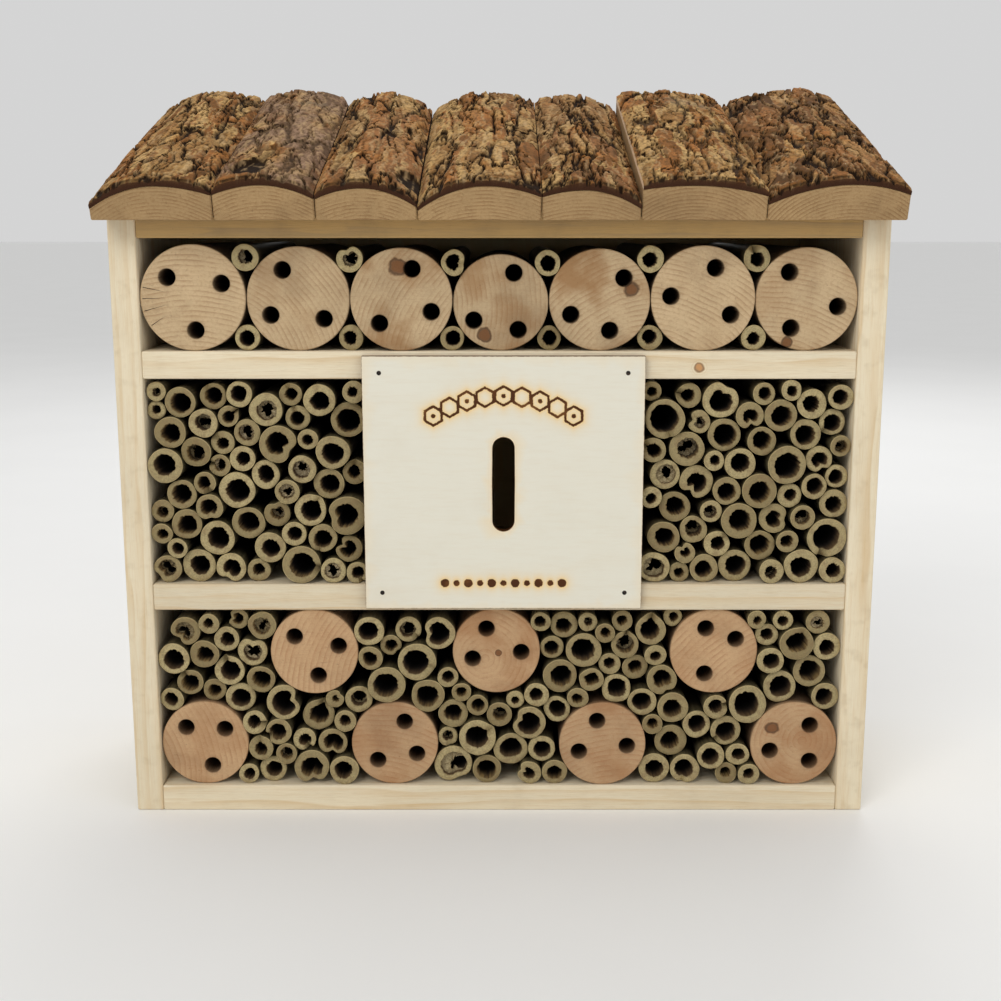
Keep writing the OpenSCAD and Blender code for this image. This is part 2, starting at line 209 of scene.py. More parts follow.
def cells(x, y, seed):
    """Distances to the nearest two of a field of scattered centres, and a number for the nearest."""
    across, along, tone = np.random.default_rng(seed).random((3, 89, 89))
    n = len(tone)
    column, row = np.floor(x).astype(int), np.floor(y).astype(int)
    near = np.full(np.shape(x), 9.0)
    second = near.copy()
    number = np.zeros(np.shape(x))
    for dx in (-1, 0, 1):
        for dy in (-1, 0, 1):
            i, j = (column + dx) % n, (row + dy) % n
            from_x = x - column - dx - 0.1 - 0.8 * across[i, j]
            from_y = y - row - dy - 0.1 - 0.8 * along[i, j]
            gap = np.hypot(from_x, from_y)
            closer = gap < near
            second = np.where(closer, near, np.minimum(second, gap))
            number = np.where(closer, tone[i, j], number)
            near = np.where(closer, gap, near)
    return near, second, number


# ---- Meshes ----


class Shape:
    """Gathers points in millimetres, faces and values per point, and makes one object of them."""

    def __init__(self):
        self.points, self.faces, self.values, self.count = [], [], [], 0

    def add(self, points, faces, grain=None, **values):
        """Adds a patch. grain is where each point lay in its tree: two places across it, one along."""
        points = np.asarray(points, float).reshape(-1, 3)
        self.points.append(points)
        self.faces.extend([tuple(i + self.count for i in face) for face in faces])
        self.count += len(points)
        patch = {"grain": points if grain is None else np.asarray(grain, float).reshape(-1, 3)}
        for name, value in values.items():
            patch[name] = np.broadcast_to(np.asarray(value, float).ravel(), (len(points),))
        self.values.append((len(points), patch))

    def build(self, name, material, sharp=38):
        """One object with smooth faces, split at edges sharper than that many degrees."""
        mesh = bpy.data.meshes.new(name)
        mesh.from_pydata(np.concatenate(self.points) * MM, [], self.faces)
        for key in sorted({n for _, patch in self.values for n in patch}):
            vector = key == "grain"
            parts = [p.get(key, np.zeros((n, 3) if vector else n)) for n, p in self.values]
            layer = mesh.attributes.new(key, "FLOAT_VECTOR" if vector else "FLOAT", "POINT")
            data = np.concatenate(parts).astype(np.float32).ravel()
            layer.data.foreach_set("vector" if vector else "value", data)
        work = bmesh.new()
        work.from_mesh(mesh)
        bmesh.ops.recalc_face_normals(work, faces=work.faces)
        work.to_mesh(mesh)
        work.free()
        mesh.polygons.foreach_set("use_smooth", [True] * len(mesh.polygons))
        mesh.set_sharp_from_angle(angle=math.radians(sharp))
        mesh.materials.append(material)
        piece = bpy.data.objects.new(name, mesh)
        bpy.context.scene.collection.objects.link(piece)
        return piece


def settle(piece, slot, *nodes):
    """The piece stands for these CAD nodes, which it hides, and keeps their place under the root. slot is not
    used.
    """
    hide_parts(*nodes)
    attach(piece, "root")


def strip(first, second, count, closed=True):
    """Quads between two rows of count points that start at these indices."""
    last = count if closed else count - 1
    return [(first + k, first + (k + 1) % count, second + (k + 1) % count, second + k) for k in range(last)]


def loft(rings, closed=True, caps=()):
    """The rows as one array, and quads from each row to the next, with one face over each capped row."""
    rings = np.asarray(rings, float)
    rows, count = rings.shape[:2]
    faces = [f for r in range(rows - 1) for f in strip(r * count, (r + 1) * count, count, closed)]
    faces += [tuple(range(r % rows * count, (r % rows + 1) * count)) for r in caps]
    return rings.reshape(-1, 3), faces


def standing(loop, depth):
    """An outline given as across and up, stood at a depth."""
    return np.column_stack([loop[:, 0], np.broadcast_to(depth, len(loop)), loop[:, 1]])


def oblong(low, high, top):
    """The outline of a sheet, given as across and up, between two corners and up to a top."""
    return np.array([(low[0], low[2]), (high[0], low[2]), (high[0], top), (low[0], top)])


def outward(loop, middle):
    """Directions of length 1 from a middle to an outline's points."""
    away = loop - middle
    return away / np.linalg.norm(away, axis=1)[:, None]


def shrunk(loop, middle, distance):
    """An outline moved towards its middle by a distance, or away from it if below 0."""
    return loop - outward(loop, middle) * distance


def angles_round(count):
    """Angles evenly round a circle."""
    return np.linspace(0, FULL_TURN, count, endpoint=False)


def circling(middle, reach, angles):
    """Points about a middle, given as across and up."""
    return np.column_stack([middle[0] + reach * np.cos(angles), middle[1] + reach * np.sin(angles)])


def waves(angles, orders, rng):
    """A sum of waves round a circle, weaker as they get finer."""
    return sum(rng.normal() * np.cos(n * angles + rng.uniform(0, ANY_PHASE)) / n for n in orders)


def refined(loop, step):
    """A closed outline with points added so that none are further apart than a step."""
    result = []
    for here, after in zip(loop, np.roll(loop, -1, axis=0)):
        count = max(1, int(np.ceil(np.linalg.norm(after - here) / step)))
        result.extend(here + (after - here) * k / count for k in range(count))
    return np.array(result)


def inside(points, loop):
    """Which points lie inside a closed outline."""
    x, y = points[:, 0], points[:, 1]
    hit = np.zeros(len(points), bool)
    for (ax, ay), (bx, by) in zip(loop, np.roll(loop, -1, axis=0)):
        crosses = (ay > y) != (by > y)
        with np.errstate(divide="ignore", invalid="ignore"):
            hit ^= crosses & (x < (bx - ax) * (y - ay) / (by - ay) + ax)
    return hit


def pierced(outline, holes, extra=()):
    """A flat face with holes: its points, and triangles. extra are more points within it."""
    loops = [np.asarray(outline)] + [np.asarray(h) for h in holes]
    points, edges = [], []
    for loop in loops:
        start = len(points)
        points.extend(map(tuple, loop))
        edges.extend((start + k, start + (k + 1) % len(loop)) for k in range(len(loop)))
    points.extend(map(tuple, extra))
    result = delaunay_2d_cdt([Vector(p) for p in points], edges, [], 1, 1e-5)
    flat = np.array([tuple(v) for v in result[0]])
    faces = np.array([tuple(f) for f in result[2]])
    middle = flat[faces].mean(1)
    keep = inside(middle, loops[0])
    for hole in loops[1:]:
        keep &= ~inside(middle, hole)
    return flat, [tuple(f) for f in faces[keep]]


def scatter(low, high, spacing, seed, clear_of=()):
    """Jittered points over a rectangle, apart from those near the given outlines."""
    rng = np.random.default_rng(seed)
    x, y = np.meshgrid(np.arange(low[0], high[0], spacing), np.arange(low[1], high[1], spacing))
    points = np.column_stack([x.ravel(), y.ravel()])
    points += rng.uniform(-0.3, 0.3, points.shape) * spacing
    for loop in clear_of:
        gaps = np.linalg.norm(points[:, None, :] - np.asarray(loop)[None, :, :], axis=2).min(1)
        points = points[gaps > spacing * 0.6]
    return points


# ---- Material nodes ----


class Nodes:
    """Adds nodes to one tree. Any value may be a socket that feeds it, and results are sockets."""

    def __init__(self, tree):
        self.tree = tree

    def feed(self, node, key, value):
        """Sets or links one input of a node."""
        if isinstance(value, bpy.types.NodeSocket):
            self.tree.links.new(value, node.inputs[key])
        else:
            node.inputs[key].default_value = value

    def add(self, kind, inputs, **settings):
        """Adds a node, with its inputs by name or number."""
        node = self.tree.nodes.new(kind)
        for name, value in settings.items():
            setattr(node, name, value)
        for key, value in inputs.items():
            self.feed(node, key, value)
        return node

    def maths(self, operation, *values):
        return self.add("ShaderNodeMath", dict(enumerate(values)), operation=operation).outputs[0]

    def times(self, first, second):
        return self.maths("MULTIPLY", first, second)

    def plus(self, first, second):
        return self.maths("ADD", first, second)

    def mix(self, factor, first, second):
        """A mix of two colours."""
        pair = [v if isinstance(v, bpy.types.NodeSocket) else (*v, 1.0) for v in (first, second)]
        return self.add("ShaderNodeMix", {0: factor, 6: pair[0], 7: pair[1]}, data_type="RGBA").outputs[2]

    def layers(self, base, *layers):
        """Colours laid over a base in turn, each given as how much of it and which."""
        for factor, tint in layers:
            base = self.mix(factor, base, tint)
        return base

    def spread(self, value, low, high, to_low=0.0, to_high=1.0):
        """A value's range mapped smoothly to another."""
        inputs = {"Value": value, "From Min": low, "From Max": high, "To Min": to_low, "To Max": to_high}
        return self.add("ShaderNodeMapRange", inputs, interpolation_type="SMOOTHSTEP").outputs["Result"]

    def noise(self, vector, scale, detail=4.0, rough=0.55):
        """Noise, with one scale or one for each axis."""
        if isinstance(scale, tuple):
            stretch = self.add("ShaderNodeVectorMath", {0: vector, 1: scale}, operation="MULTIPLY")
            vector, scale = stretch.outputs[0], 1.0
        inputs = {"Vector": vector, "Scale": scale, "Detail": detail, "Roughness": rough}
        return self.add("ShaderNodeTexNoise", inputs).outputs[0]

    def value(self, name):
        """A value per point of the mesh."""
        return self.add("ShaderNodeAttribute", {}, attribute_name=name).outputs["Fac"]

    def grain(self):
        """Where a point lay in its tree, in millimetres."""
        return self.add("ShaderNodeAttribute", {}, attribute_name="grain").outputs["Vector"]

    def place(self):
        """A point's place on the hotel, in metres."""
        return self.add("ShaderNodeTexCoord", {}).outputs["Object"]

    def use(self, name, **inputs):
        """Places a shared group, and returns its outputs."""
        node = self.tree.nodes.new("ShaderNodeGroup")
        node.node_tree = shared_group(name)
        for key, value in inputs.items():
            self.feed(node, key, value)
        return node.outputs

    def finish(self, shader, base, rough, height, distance, strength=0.6):
        """Feeds the shader's colour, roughness and normal."""
        bump = self.add("ShaderNodeBump", {"Height": height, "Distance": distance, "Strength": strength})
        for key, value in (("Base Color", base), ("Roughness", rough), ("Normal", bump.outputs["Normal"])):
            self.feed(shader, key, value)


def wood_rings(t, given):
    """Growth rings and fibres, read from where a point lay in its tree."""
    grain = given["Grain"]
    parts = t.add("ShaderNodeSeparateXYZ", {0: grain}).outputs
    wander = t.noise(grain, (0.05, 0.05, 0.006), 3.0)
    wander = t.times(t.maths("SUBTRACT", wander, 0.5), given["Waviness"])
    squares = t.plus(t.times(parts[0], parts[0]), t.times(parts[1], parts[1]))
    radius = t.plus(t.maths("SQRT", squares), wander)
    turn = t.maths("FRACT", t.maths("DIVIDE", radius, given["Spacing"]))
    ring = t.times(t.maths("POWER", turn, 2.6), t.spread(turn, 1.0, 0.9))
    uneven = t.noise(grain, (0.13, 0.13, 0.01), 2.0)
    ring = t.times(ring, t.spread(uneven, 0.36, 0.62, 0.25, 1.25))
    fibres = t.noise(grain, (2.6, 2.6, 0.09), 3.0, 0.6)
    tone = t.noise(grain, (0.06, 0.06, 0.012), 2.0)
    return {"Rings": ring, "Fibres": fibres, "Tone": tone, "Height": t.plus(t.times(ring, 0.4), fibres)}


def grime(t, given):
    """Patches and specks where handling and weather have dulled a surface."""
    cloud = t.noise(given["Place"], 28.0, 5.0, 0.6)
    fine = t.noise(given["Place"], 900.0, 2.0)
    return {"Patches": t.times(t.spread(cloud, 0.48, 0.75), given["Amount"]),
            "Specks": t.times(t.spread(fine, 0.66, 0.78), given["Amount"])}


def knot(t, given):
    """A knot's round mark at one place, with a rim and with rings round it."""
    wobble = t.noise(given["Place"], 220.0, 3.0, 0.5)
    ends = {0: given["Place"], 1: given["Centre"]}
    gap = t.add("ShaderNodeVectorMath", ends, operation="DISTANCE").outputs["Value"]
    reach = t.maths("DIVIDE", gap, given["Radius"])
    reach = t.plus(reach, t.times(t.maths("SUBTRACT", wobble, 0.5), 0.9))
    ripple = t.maths("SINE", t.times(reach, 14.0))
    return {"Mark": t.spread(reach, 1.0, 0.55),
            "Rings": t.times(t.spread(ripple, 0.0, 1.0), t.spread(reach, 2.2, 0.8)),
            "Rim": t.times(t.spread(reach, 0.55, 0.80), t.spread(reach, 1.10, 0.88))}


GROUPS = {
    "Wood Rings": (wood_rings, {"Grain": None, "Spacing": 2.5, "Waviness": 1.0}),
    "Grime": (grime, {"Place": None, "Amount": 0.5}),
    "Knot": (knot, {"Place": None, "Centre": None, "Radius": 0.003}),
}


def shared_group(name):
    """A shader node group from the table, built the first time. Inputs without a default are vectors."""
    if name in bpy.data.node_groups:
        return bpy.data.node_groups[name]
    fill, inputs = GROUPS[name]
    tree = bpy.data.node_groups.new(name, "ShaderNodeTree")
    for key, default in inputs.items():
        kind = "NodeSocketVector" if default is None else "NodeSocketFloat"
        socket = tree.interface.new_socket(key, in_out="INPUT", socket_type=kind)
        if default is not None:
            socket.default_value = default
    results = fill(Nodes(tree), tree.nodes.new("NodeGroupInput").outputs)
    for key in results:
        tree.interface.new_socket(key, in_out="OUTPUT", socket_type="NodeSocketFloat")
    out = tree.nodes.new("NodeGroupOutput")
    for key, value in results.items():
        tree.links.new(value, out.inputs[key])
    return tree


def new_material(name):
    """An empty material, as itself, its nodes and its shader."""
    material = bpy.data.materials.new(name)
    material.use_nodes = True
    return material, Nodes(material.node_tree), material.node_tree.nodes["Principled BSDF"]


def wood(name, early, late, spacing, waviness, contrast, dirt, knots=(), knot_colour=None):
    """Sawn wood: rings, fibres, uneven tone, dirt, painted shade in bores and splits, round their rims and on
    the logs' sides, and knots where given.
    """
    material, t, shader = new_material(name)
    place, grain = t.place(), t.grain()
    rings = t.use("Wood Rings", Grain=grain, Spacing=spacing, Waviness=waviness)
    marks = t.use("Grime", Place=place, Amount=dirt)
    tone = t.plus(t.times(rings["Tone"], 0.55), t.times(t.value("tone"), 0.5))
    saw = t.noise(grain, (0.15, 3.2, 0.15), 2.0)
    mottle = t.noise(grain, (0.75, 0.75, 0.03), 4.0, 0.7)
    stain = t.times(t.spread(t.noise(place, 42.0), 0.42, 0.66), t.value("stain"))
    base = t.layers(
        t.mix(t.spread(tone, 0.15, 0.85), early, tinted(early, 0.80)),
        (t.times(rings["Rings"], contrast), late),
        (t.spread(rings["Fibres"], 0.35, 0.8, 0.0, 0.22), late),
        (t.spread(saw, 0.5, 0.8, 0.0, 0.22), tinted(late, 0.6)),
        (t.spread(mottle, 0.46, 0.72, 0.0, 0.55 * contrast), late),
        (stain, tinted(late, 0.86, 0.72, 0.52)),
        (marks["Patches"], tinted(late, 0.55)),
        (marks["Specks"], tinted(late, 0.35)))
    for centre, radius in knots:
        mark = t.use("Knot", Place=place, Centre=centre, Radius=radius)
        base = t.layers(
            base, (t.times(mark["Rings"], 0.55), late), (t.times(mark["Mark"], 0.94), knot_colour),
            (t.times(mark["Rim"], 0.80), tinted(knot_colour, 0.40)))
    # Painted shade: the colour goes towards a very deep brown where the value says, in the logs' bores and
    # splits, round their rims and on their sides.
    base = t.mix(t.value("dark"), base, (0.030, 0.012, 0.006))
    t.finish(shader, base, t.spread(rings["Fibres"], 0.2, 0.8, 0.62, 0.82), rings["Height"], 0.25 * MM)
    shader.inputs["Specular IOR Level"].default_value = 0.3
    return material


def bark_material():
    """Flaky bark: plates of mixed browns with grey patches, painted shade in the low layers, cracks and pits
    and on the risers, and a painted highlight along the lips.
    """
    material, t, shader = new_material("flaky bark")
    place, level = t.place(), t.value("level")
    middle = colours().bark
    cloud = t.noise(place, 60.0)
    fine = t.noise(place, (520.0, 208.0, 520.0), 5.0, 0.70)
    mix = t.plus(t.times(t.value("tone"), 0.60), t.times(cloud, 0.45))
    mix = t.plus(mix, t.value("warmth"))
    ramp = t.add("ShaderNodeValToRGB", {0: mix})
    steps = (
        (0.16, (0.45, 0.34, 0.26)), (0.34, (1.05, 0.78, 0.55)), (0.50, (1.62, 1.16, 0.80)),
        (0.66, (1.92, 1.75, 1.40)), (0.84, (2.4, 2.7, 2.75)))
    while len(ramp.color_ramp.elements) < len(steps):
        ramp.color_ramp.elements.new(0.5)
    for element, (position, factors) in zip(ramp.color_ramp.elements, steps):
        element.position = position
        element.color = (*[min(1.0, c) for c in tinted(middle, *factors)], 1.0)
    grey = t.mix(t.spread(mix, 0.25, 0.75), (0.170, 0.105, 0.066), (0.34, 0.215, 0.145))
    base = t.layers(
        ramp.outputs[0],
        (t.value("grey"), grey),
        # Painted shade: the lower layers of bark are made darker.
        (t.spread(level, 0.72, 0.28, 0.0, 0.62), tinted(middle, 0.26)),
        (t.spread(fine, 0.38, 0.66, 0.0, 0.72), tinted(middle, 0.30)),
        # Painted shade: the cracks and deepest layers go to a very deep brown.
        (t.times(t.spread(level, 0.36, 0.10), 0.95), (0.014, 0.007, 0.004)),
        # Painted highlight: a light band along the lip of each flake.
        (t.times(t.value("lip"), 0.55), (0.54, 0.36, 0.18)),
        (t.spread(t.noise(place, 24.0, 5.0, 0.6), 0.64, 0.74, 0.0, 0.3), (0.25, 0.215, 0.15)),
        (t.value("cut"), (0.050, 0.021, 0.011)),
        (t.value("bare"), (0.80, 0.60, 0.40)))
    t.finish(shader, base, 0.92, t.plus(fine, t.times(cloud, 0.5)), 0.7 * MM, 0.8)
    shader.inputs["Specular IOR Level"].default_value = 0.08
    return material


def cane_material():
    """Dry cane: waxy skin outside made much deeper in tone as painted shade, fibrous cut rim, and a dull
    bore; painted shade deepens with depth behind the front.
    """
    material, t, shader = new_material("dry cane")
    place, rim = t.place(), colours().cane
    zone, depth, tone = (t.value(n) for n in ("zone", "depth", "tone"))
    fine = t.noise(place, 1500.0, 3.0, 0.6)
    streaks = t.noise(place, (900.0, 45.0, 900.0), 3.0)
    edge = t.times(t.spread(zone, 0.12, 0.28), t.spread(zone, 0.48, 0.30))
    cut = t.layers(
        t.mix(tone, tinted(rim, 1.30), tinted(rim, 0.66, 0.60, 0.50)),
        (t.spread(fine, 0.4, 0.65, 0.0, 0.5), tinted(rim, 0.45)),
        (t.spread(t.noise(place, 260.0, 3.0), 0.45, 0.7, 0.0, 0.45), (0.20, 0.125, 0.055)),
        (t.times(edge, 0.6), tinted(rim, 1.7)))
    # Painted shade: the skin, which shows only in the gaps between canes, is made much darker than the rim.
    skin = t.mix(t.spread(streaks, 0.3, 0.7), tinted(rim, 0.40), tinted(rim, 0.16))
    # The colour of painted shade deep inside and between the canes.
    painted_shade_black = (0.010, 0.006, 0.004)
    bore = t.layers(
        t.mix(t.spread(tone, 0.35, 0.95), (0.16, 0.095, 0.038), (0.36, 0.235, 0.085)),
        (t.spread(streaks, 0.3, 0.7), (0.085, 0.048, 0.020)),
        # Painted shade: the bore fades towards it with depth.
        (t.spread(depth, 1.0, 14.0), painted_shade_black))
    torn = t.mix(t.spread(fine, 0.3, 0.7), (0.62, 0.52, 0.34), (0.30, 0.22, 0.12))
    base = t.layers(
        skin, (t.spread(zone, 0.10, 0.30), cut), (t.spread(zone, 0.62, 0.88), bore),
        # Painted shade: the whole cane fades towards it with depth behind the front.
        (t.spread(depth, 2.0, 15.0, 0.0, 0.97), painted_shade_black), (t.value("pith"), torn))
    t.finish(shader, base, t.spread(zone, 0.1, 0.5, 0.45, 0.8), t.plus(fine, streaks), 0.2 * MM, 0.5)
    return material


def steel_material(name, tint, rust):
    """Dull wire steel with spots of rust."""
    material, t, shader = new_material(name)
    place = t.place()
    spots = t.spread(t.noise(place, 700.0, 4.0, 0.6), 0.5, 0.68, 0.0, rust)
    brushed = t.noise(place, (2400.0, 2400.0, 360.0), 2.0)
    base = t.layers(
        tint, (spots, (0.19, 0.075, 0.03)), (t.spread(brushed, 0.3, 0.7, 0.0, 0.3), tinted(tint, 0.6)))
    t.feed(shader, "Metallic", t.spread(spots, 0.0, rust, 0.95, 0.25))
    t.finish(shader, base, t.spread(spots, 0.0, rust, 0.36, 0.85), brushed, 0.05 * MM, 0.4)
    return material


def plate_material():
    """Pale thin plywood with burned marks and a yellow scorch round them."""
    material, t, shader = new_material("plate plywood")
    place = t.place()
    rings = t.use("Wood Rings", Grain=t.grain(), Spacing=7.0, Waviness=14.0)
    marks = t.use("Grime", Place=place, Amount=0.10)
    burn = t.plus(t.value("burn"), t.spread(t.noise(place, 600.0), 0.3, 0.7, -0.12, 0.08))
    plies = t.noise(place, (120.0, 1000.0, 120.0), 2.0)
    burned = t.mix(t.spread(plies, 0.45, 0.70), colours().burn, (0.15, 0.056, 0.014))
    base = t.layers(
        colours().plate,
        (t.times(rings["Rings"], 0.10), (0.66, 0.50, 0.30)),
        (t.spread(rings["Fibres"], 0.4, 0.8, 0.0, 0.10), (0.62, 0.47, 0.28)),
        (marks["Patches"], (0.55, 0.45, 0.30)),
        (t.value("scorch"), (0.85, 0.55, 0.17)),
        (t.spread(burn, 0.30, 0.70), burned))
    t.finish(shader, base, 0.72, rings["Height"], 0.12 * MM, 0.4)
    shader.inputs["Specular IOR Level"].default_value = 0.18
    return material


# ---- Boards ----


def side_outline(node):
    """The four corners of a board's side view, as front-to-back and up, going round."""
    points = corners(node)
    front, rear = points[:, 1].min(), points[:, 1].max()
    at_front, at_rear = (at_depth(points, y)[:, 2] for y in (front, rear))
    return np.array([
        (front, at_front.min()), (rear, at_rear.min()), (rear, at_rear.max()), (front, at_front.max())])


def inset(outline, distance):
    """A convex outline moved inwards."""
    result = []
    for before, here, after in zip(np.roll(outline, 1, 0), outline, np.roll(outline, -1, 0)):
        first = (here - before) / np.linalg.norm(here - before)
        second = (after - here) / np.linalg.norm(after - here)
        inward = np.array([-first[1], first[0]]), np.array([-second[1], second[0]])
        result.append(here + distance / (1 + inward[0] @ inward[1]) * (inward[0] + inward[1]))
    return np.array(result)


def rounded_ring(core, radius, corner_steps=4):
    """Points round an outline's corners, each corner an arc of that radius about a core point."""
    ring = []
    for before, here, after in zip(np.roll(core, 1, 0), core, np.roll(core, -1, 0)):
        first, second = here - before, after - here
        start = math.atan2(-first[0], first[1])
        turn = (math.atan2(-second[0], second[1]) - start) % FULL_TURN
        for k in range(corner_steps + 1):
            angle = start + turn * k / corner_steps
            ring.append(here + radius * np.array([math.cos(angle), math.sin(angle)]))
    return np.array(ring)


def make_board(node, material, slot, along, pith, tone):
    """A board with rounded edges. along is its grain's axis, and pith the tree's heart from its middle."""
    low, high = extent(node)
    radius = sizes().edge_round / MM
    core = inset(side_outline(node), radius)
    rings = []
    for end, inward, turns in ((low[0], 1, (75, 45, 20, 0)), (high[0], -1, (0, 20, 45, 75))):
        for turn in np.radians(turns):
            ring = rounded_ring(core, radius * math.cos(turn))
            x = end + inward * radius * (1 - math.sin(turn))
            rings.append(np.column_stack([np.full(len(ring), x), ring]))
    points, faces = loft(rings, caps=(0, -1))
    order = [axis for axis in range(3) if axis != along] + [along]
    shape = Shape()
    shape.add(points, faces, (points - (low + high) / 2)[:, order] + pith, tone=tone, dark=0.0)
    settle(shape.build(node + "_pine", material), slot, node)


class HOTEL_OT_frame_boards(bpy.types.Operator):
    """Makes the side boards, shelves, bottom board and the two uprights in pale pine"""

    bl_idname = "hotel.frame_boards"
    bl_label = "Frame boards"

    def execute(self, context):
        low, high = extent("upper_shelf")
        knot_x = low[0] + (high[0] - low[0]) * 0.78
        knot_place = Vector((knot_x, low[1], (low[2] + high[2]) / 2 - 1.0)) * MM
        material = wood(
            "pale pine", colours().pine, colours().pine_late, spacing=4.6, waviness=11.0, contrast=0.55,
            dirt=0.14, knots=[(knot_place, 2.4 * MM)], knot_colour=(0.55, 0.27, 0.10))
        rng = np.random.default_rng(5)
        for node in ("side_board_left", "side_board_right") + CROSS_BOARDS + DIVIDERS:
            thick, wide, along = rng.uniform(26, 46), rng.uniform(-34, 34), rng.uniform(0, 400)
            axis, pith = 2, (thick, wide, along)
            if node in CROSS_BOARDS:
                axis, pith = 0, (wide, thick, along)
            make_board(node, material, "frame_pine", axis, pith, rng.uniform(0.2, 0.8))
        return {"FINISHED"}


class HOTEL_OT_roof_board(bpy.types.Operator):
    """Makes the sloping board under the slabs"""

    bl_idname = "hotel.roof_board"
    bl_label = "Roof board"

    def execute(self, context):
        # Darker and more orange than the frame's pine: partly the board's own wood, partly painted shade for
        # the shadow under the eaves.
        material = wood(
            "roof board pine", tinted(colours().pine, 0.69, 0.50, 0.26), tinted(colours().pine_late, 0.62),
            spacing=2.4, waviness=9.0, contrast=0.95, dirt=0.4)
        make_board("roof_board", material, "roof_pine", 0, (22.0, 41.0, 60.0), 0.5)
        return {"FINISHED"}


def make_sheet(node, material, slot, outlines, holes, extra, finish):
    """An upright sheet with holes. It has an outline for front and rear, and finish gives its values."""
    low, high = extent(node)
    flat, faces = pierced(outlines[0], holes, extra)
    sides = []
    for outline, depth in zip(outlines, (low[1], high[1])):
        moved = flat.copy()
        moved[: len(outline)] = outline
        sides.append(standing(moved, depth))
    count = len(flat)
    faces = faces + [tuple(i + count for i in face[::-1]) for face in faces]
    start = 0
    for loop in (outlines[0], *holes):
        faces += strip(start, start + count, len(loop))
        start += len(loop)
    points = np.concatenate(sides)
    shape = Shape()
    points, values = finish(points, np.arange(len(points)) < count)
    shape.add(points, faces, **values)
    settle(shape.build(node + "_plywood", material), slot, node)


def hole_outline(node, depth, low, high):
    """A hole's outline: the CAD points at that depth within a window, in order of angle."""
    points = at_depth(corners(node), depth)[:, [0, 2]]
    points = points[np.all((points > low) & (points < high), axis=1)]
    points = np.unique(points.round(4), axis=0)
    x, z = points[:, 0], points[:, 1]
    return points[np.argsort(np.arctan2(z - z.min() - np.ptp(x) / 2, x - (x.min() + x.max()) / 2))]


class HOTEL_OT_back_panel(bpy.types.Operator):
    """Makes the plywood back with its two keyholes"""

    bl_idname = "hotel.back_panel"
    bl_label = "Back panel"

    def execute(self, context):
        low, high = extent("back_panel")
        section = side_outline("back_panel")
        mount = next(m for m in frame["record"]["mounts"] if m["name"] == "keyholes")
        centre_z = mount["pos_m"][2] / MM
        reach = mount["dims"]["hole_r_mm"]
        holes = []
        for side in (-1, 1):
            x = side * mount["dims"]["spacing_x_mm"] / 2
            window = ((x - reach - 1, centre_z - reach - 1), (x + reach + 1, centre_z + 4 * reach))
            holes.append(hole_outline("back_panel", high[1], *window))
        eased = 0.4
        outlines = [oblong(low, high, top) for top in (section[3][1], section[2][1] - eased)]
        material = wood(
            "back plywood", tinted(colours().pine, 0.86, 0.80, 0.70), colours().pine_late,
            spacing=5.5, waviness=42.0, contrast=0.55, dirt=0.12)

        def finish(points, at_front):
            return points, {"grain": points * (0.25, 4, 1) + (60, 30, 0), "tone": 0.5, "dark": 0.0}

        make_sheet("back_panel", material, "back_ply", outlines, holes, (), finish)
        return {"FINISHED"}


# ---- Slot plate ----


def comb_cell(x, z, radius):
    """Distance from the outline of a comb cell that stands on a corner, below 0 inside."""
    x, z = np.abs(x), np.abs(z)
    return np.maximum(x, x / 2 + z * math.cos(math.pi / 6)) - radius


def ornament(x, z):
    """Distance from the burned ornament: an arch of comb cells over the slot, and dots below."""
    distance = np.full(np.shape(x), 99.0)
    arch_radius, arch_centre, line, cell, dot_height = 62.0, -20.0, 0.62, 3.9, -48.0
    for k in range(9):
        angle = math.radians(90 + (k - 4) * 8.0)
        cx, cz = arch_radius * math.cos(angle), arch_centre + arch_radius * math.sin(angle)
        distance = np.minimum(distance, np.abs(comb_cell(x - cx, z - cz, cell)) - line)
        if k % 2 == 0:
            distance = np.minimum(distance, np.hypot(x - cx, z - cz) - 1.1)
    for k in range(11):
        size = 1.5 if k % 2 else 2.1
        distance = np.minimum(distance, np.hypot(x - (k - 5) * 5.6, z - dot_height) - size)
    return distance


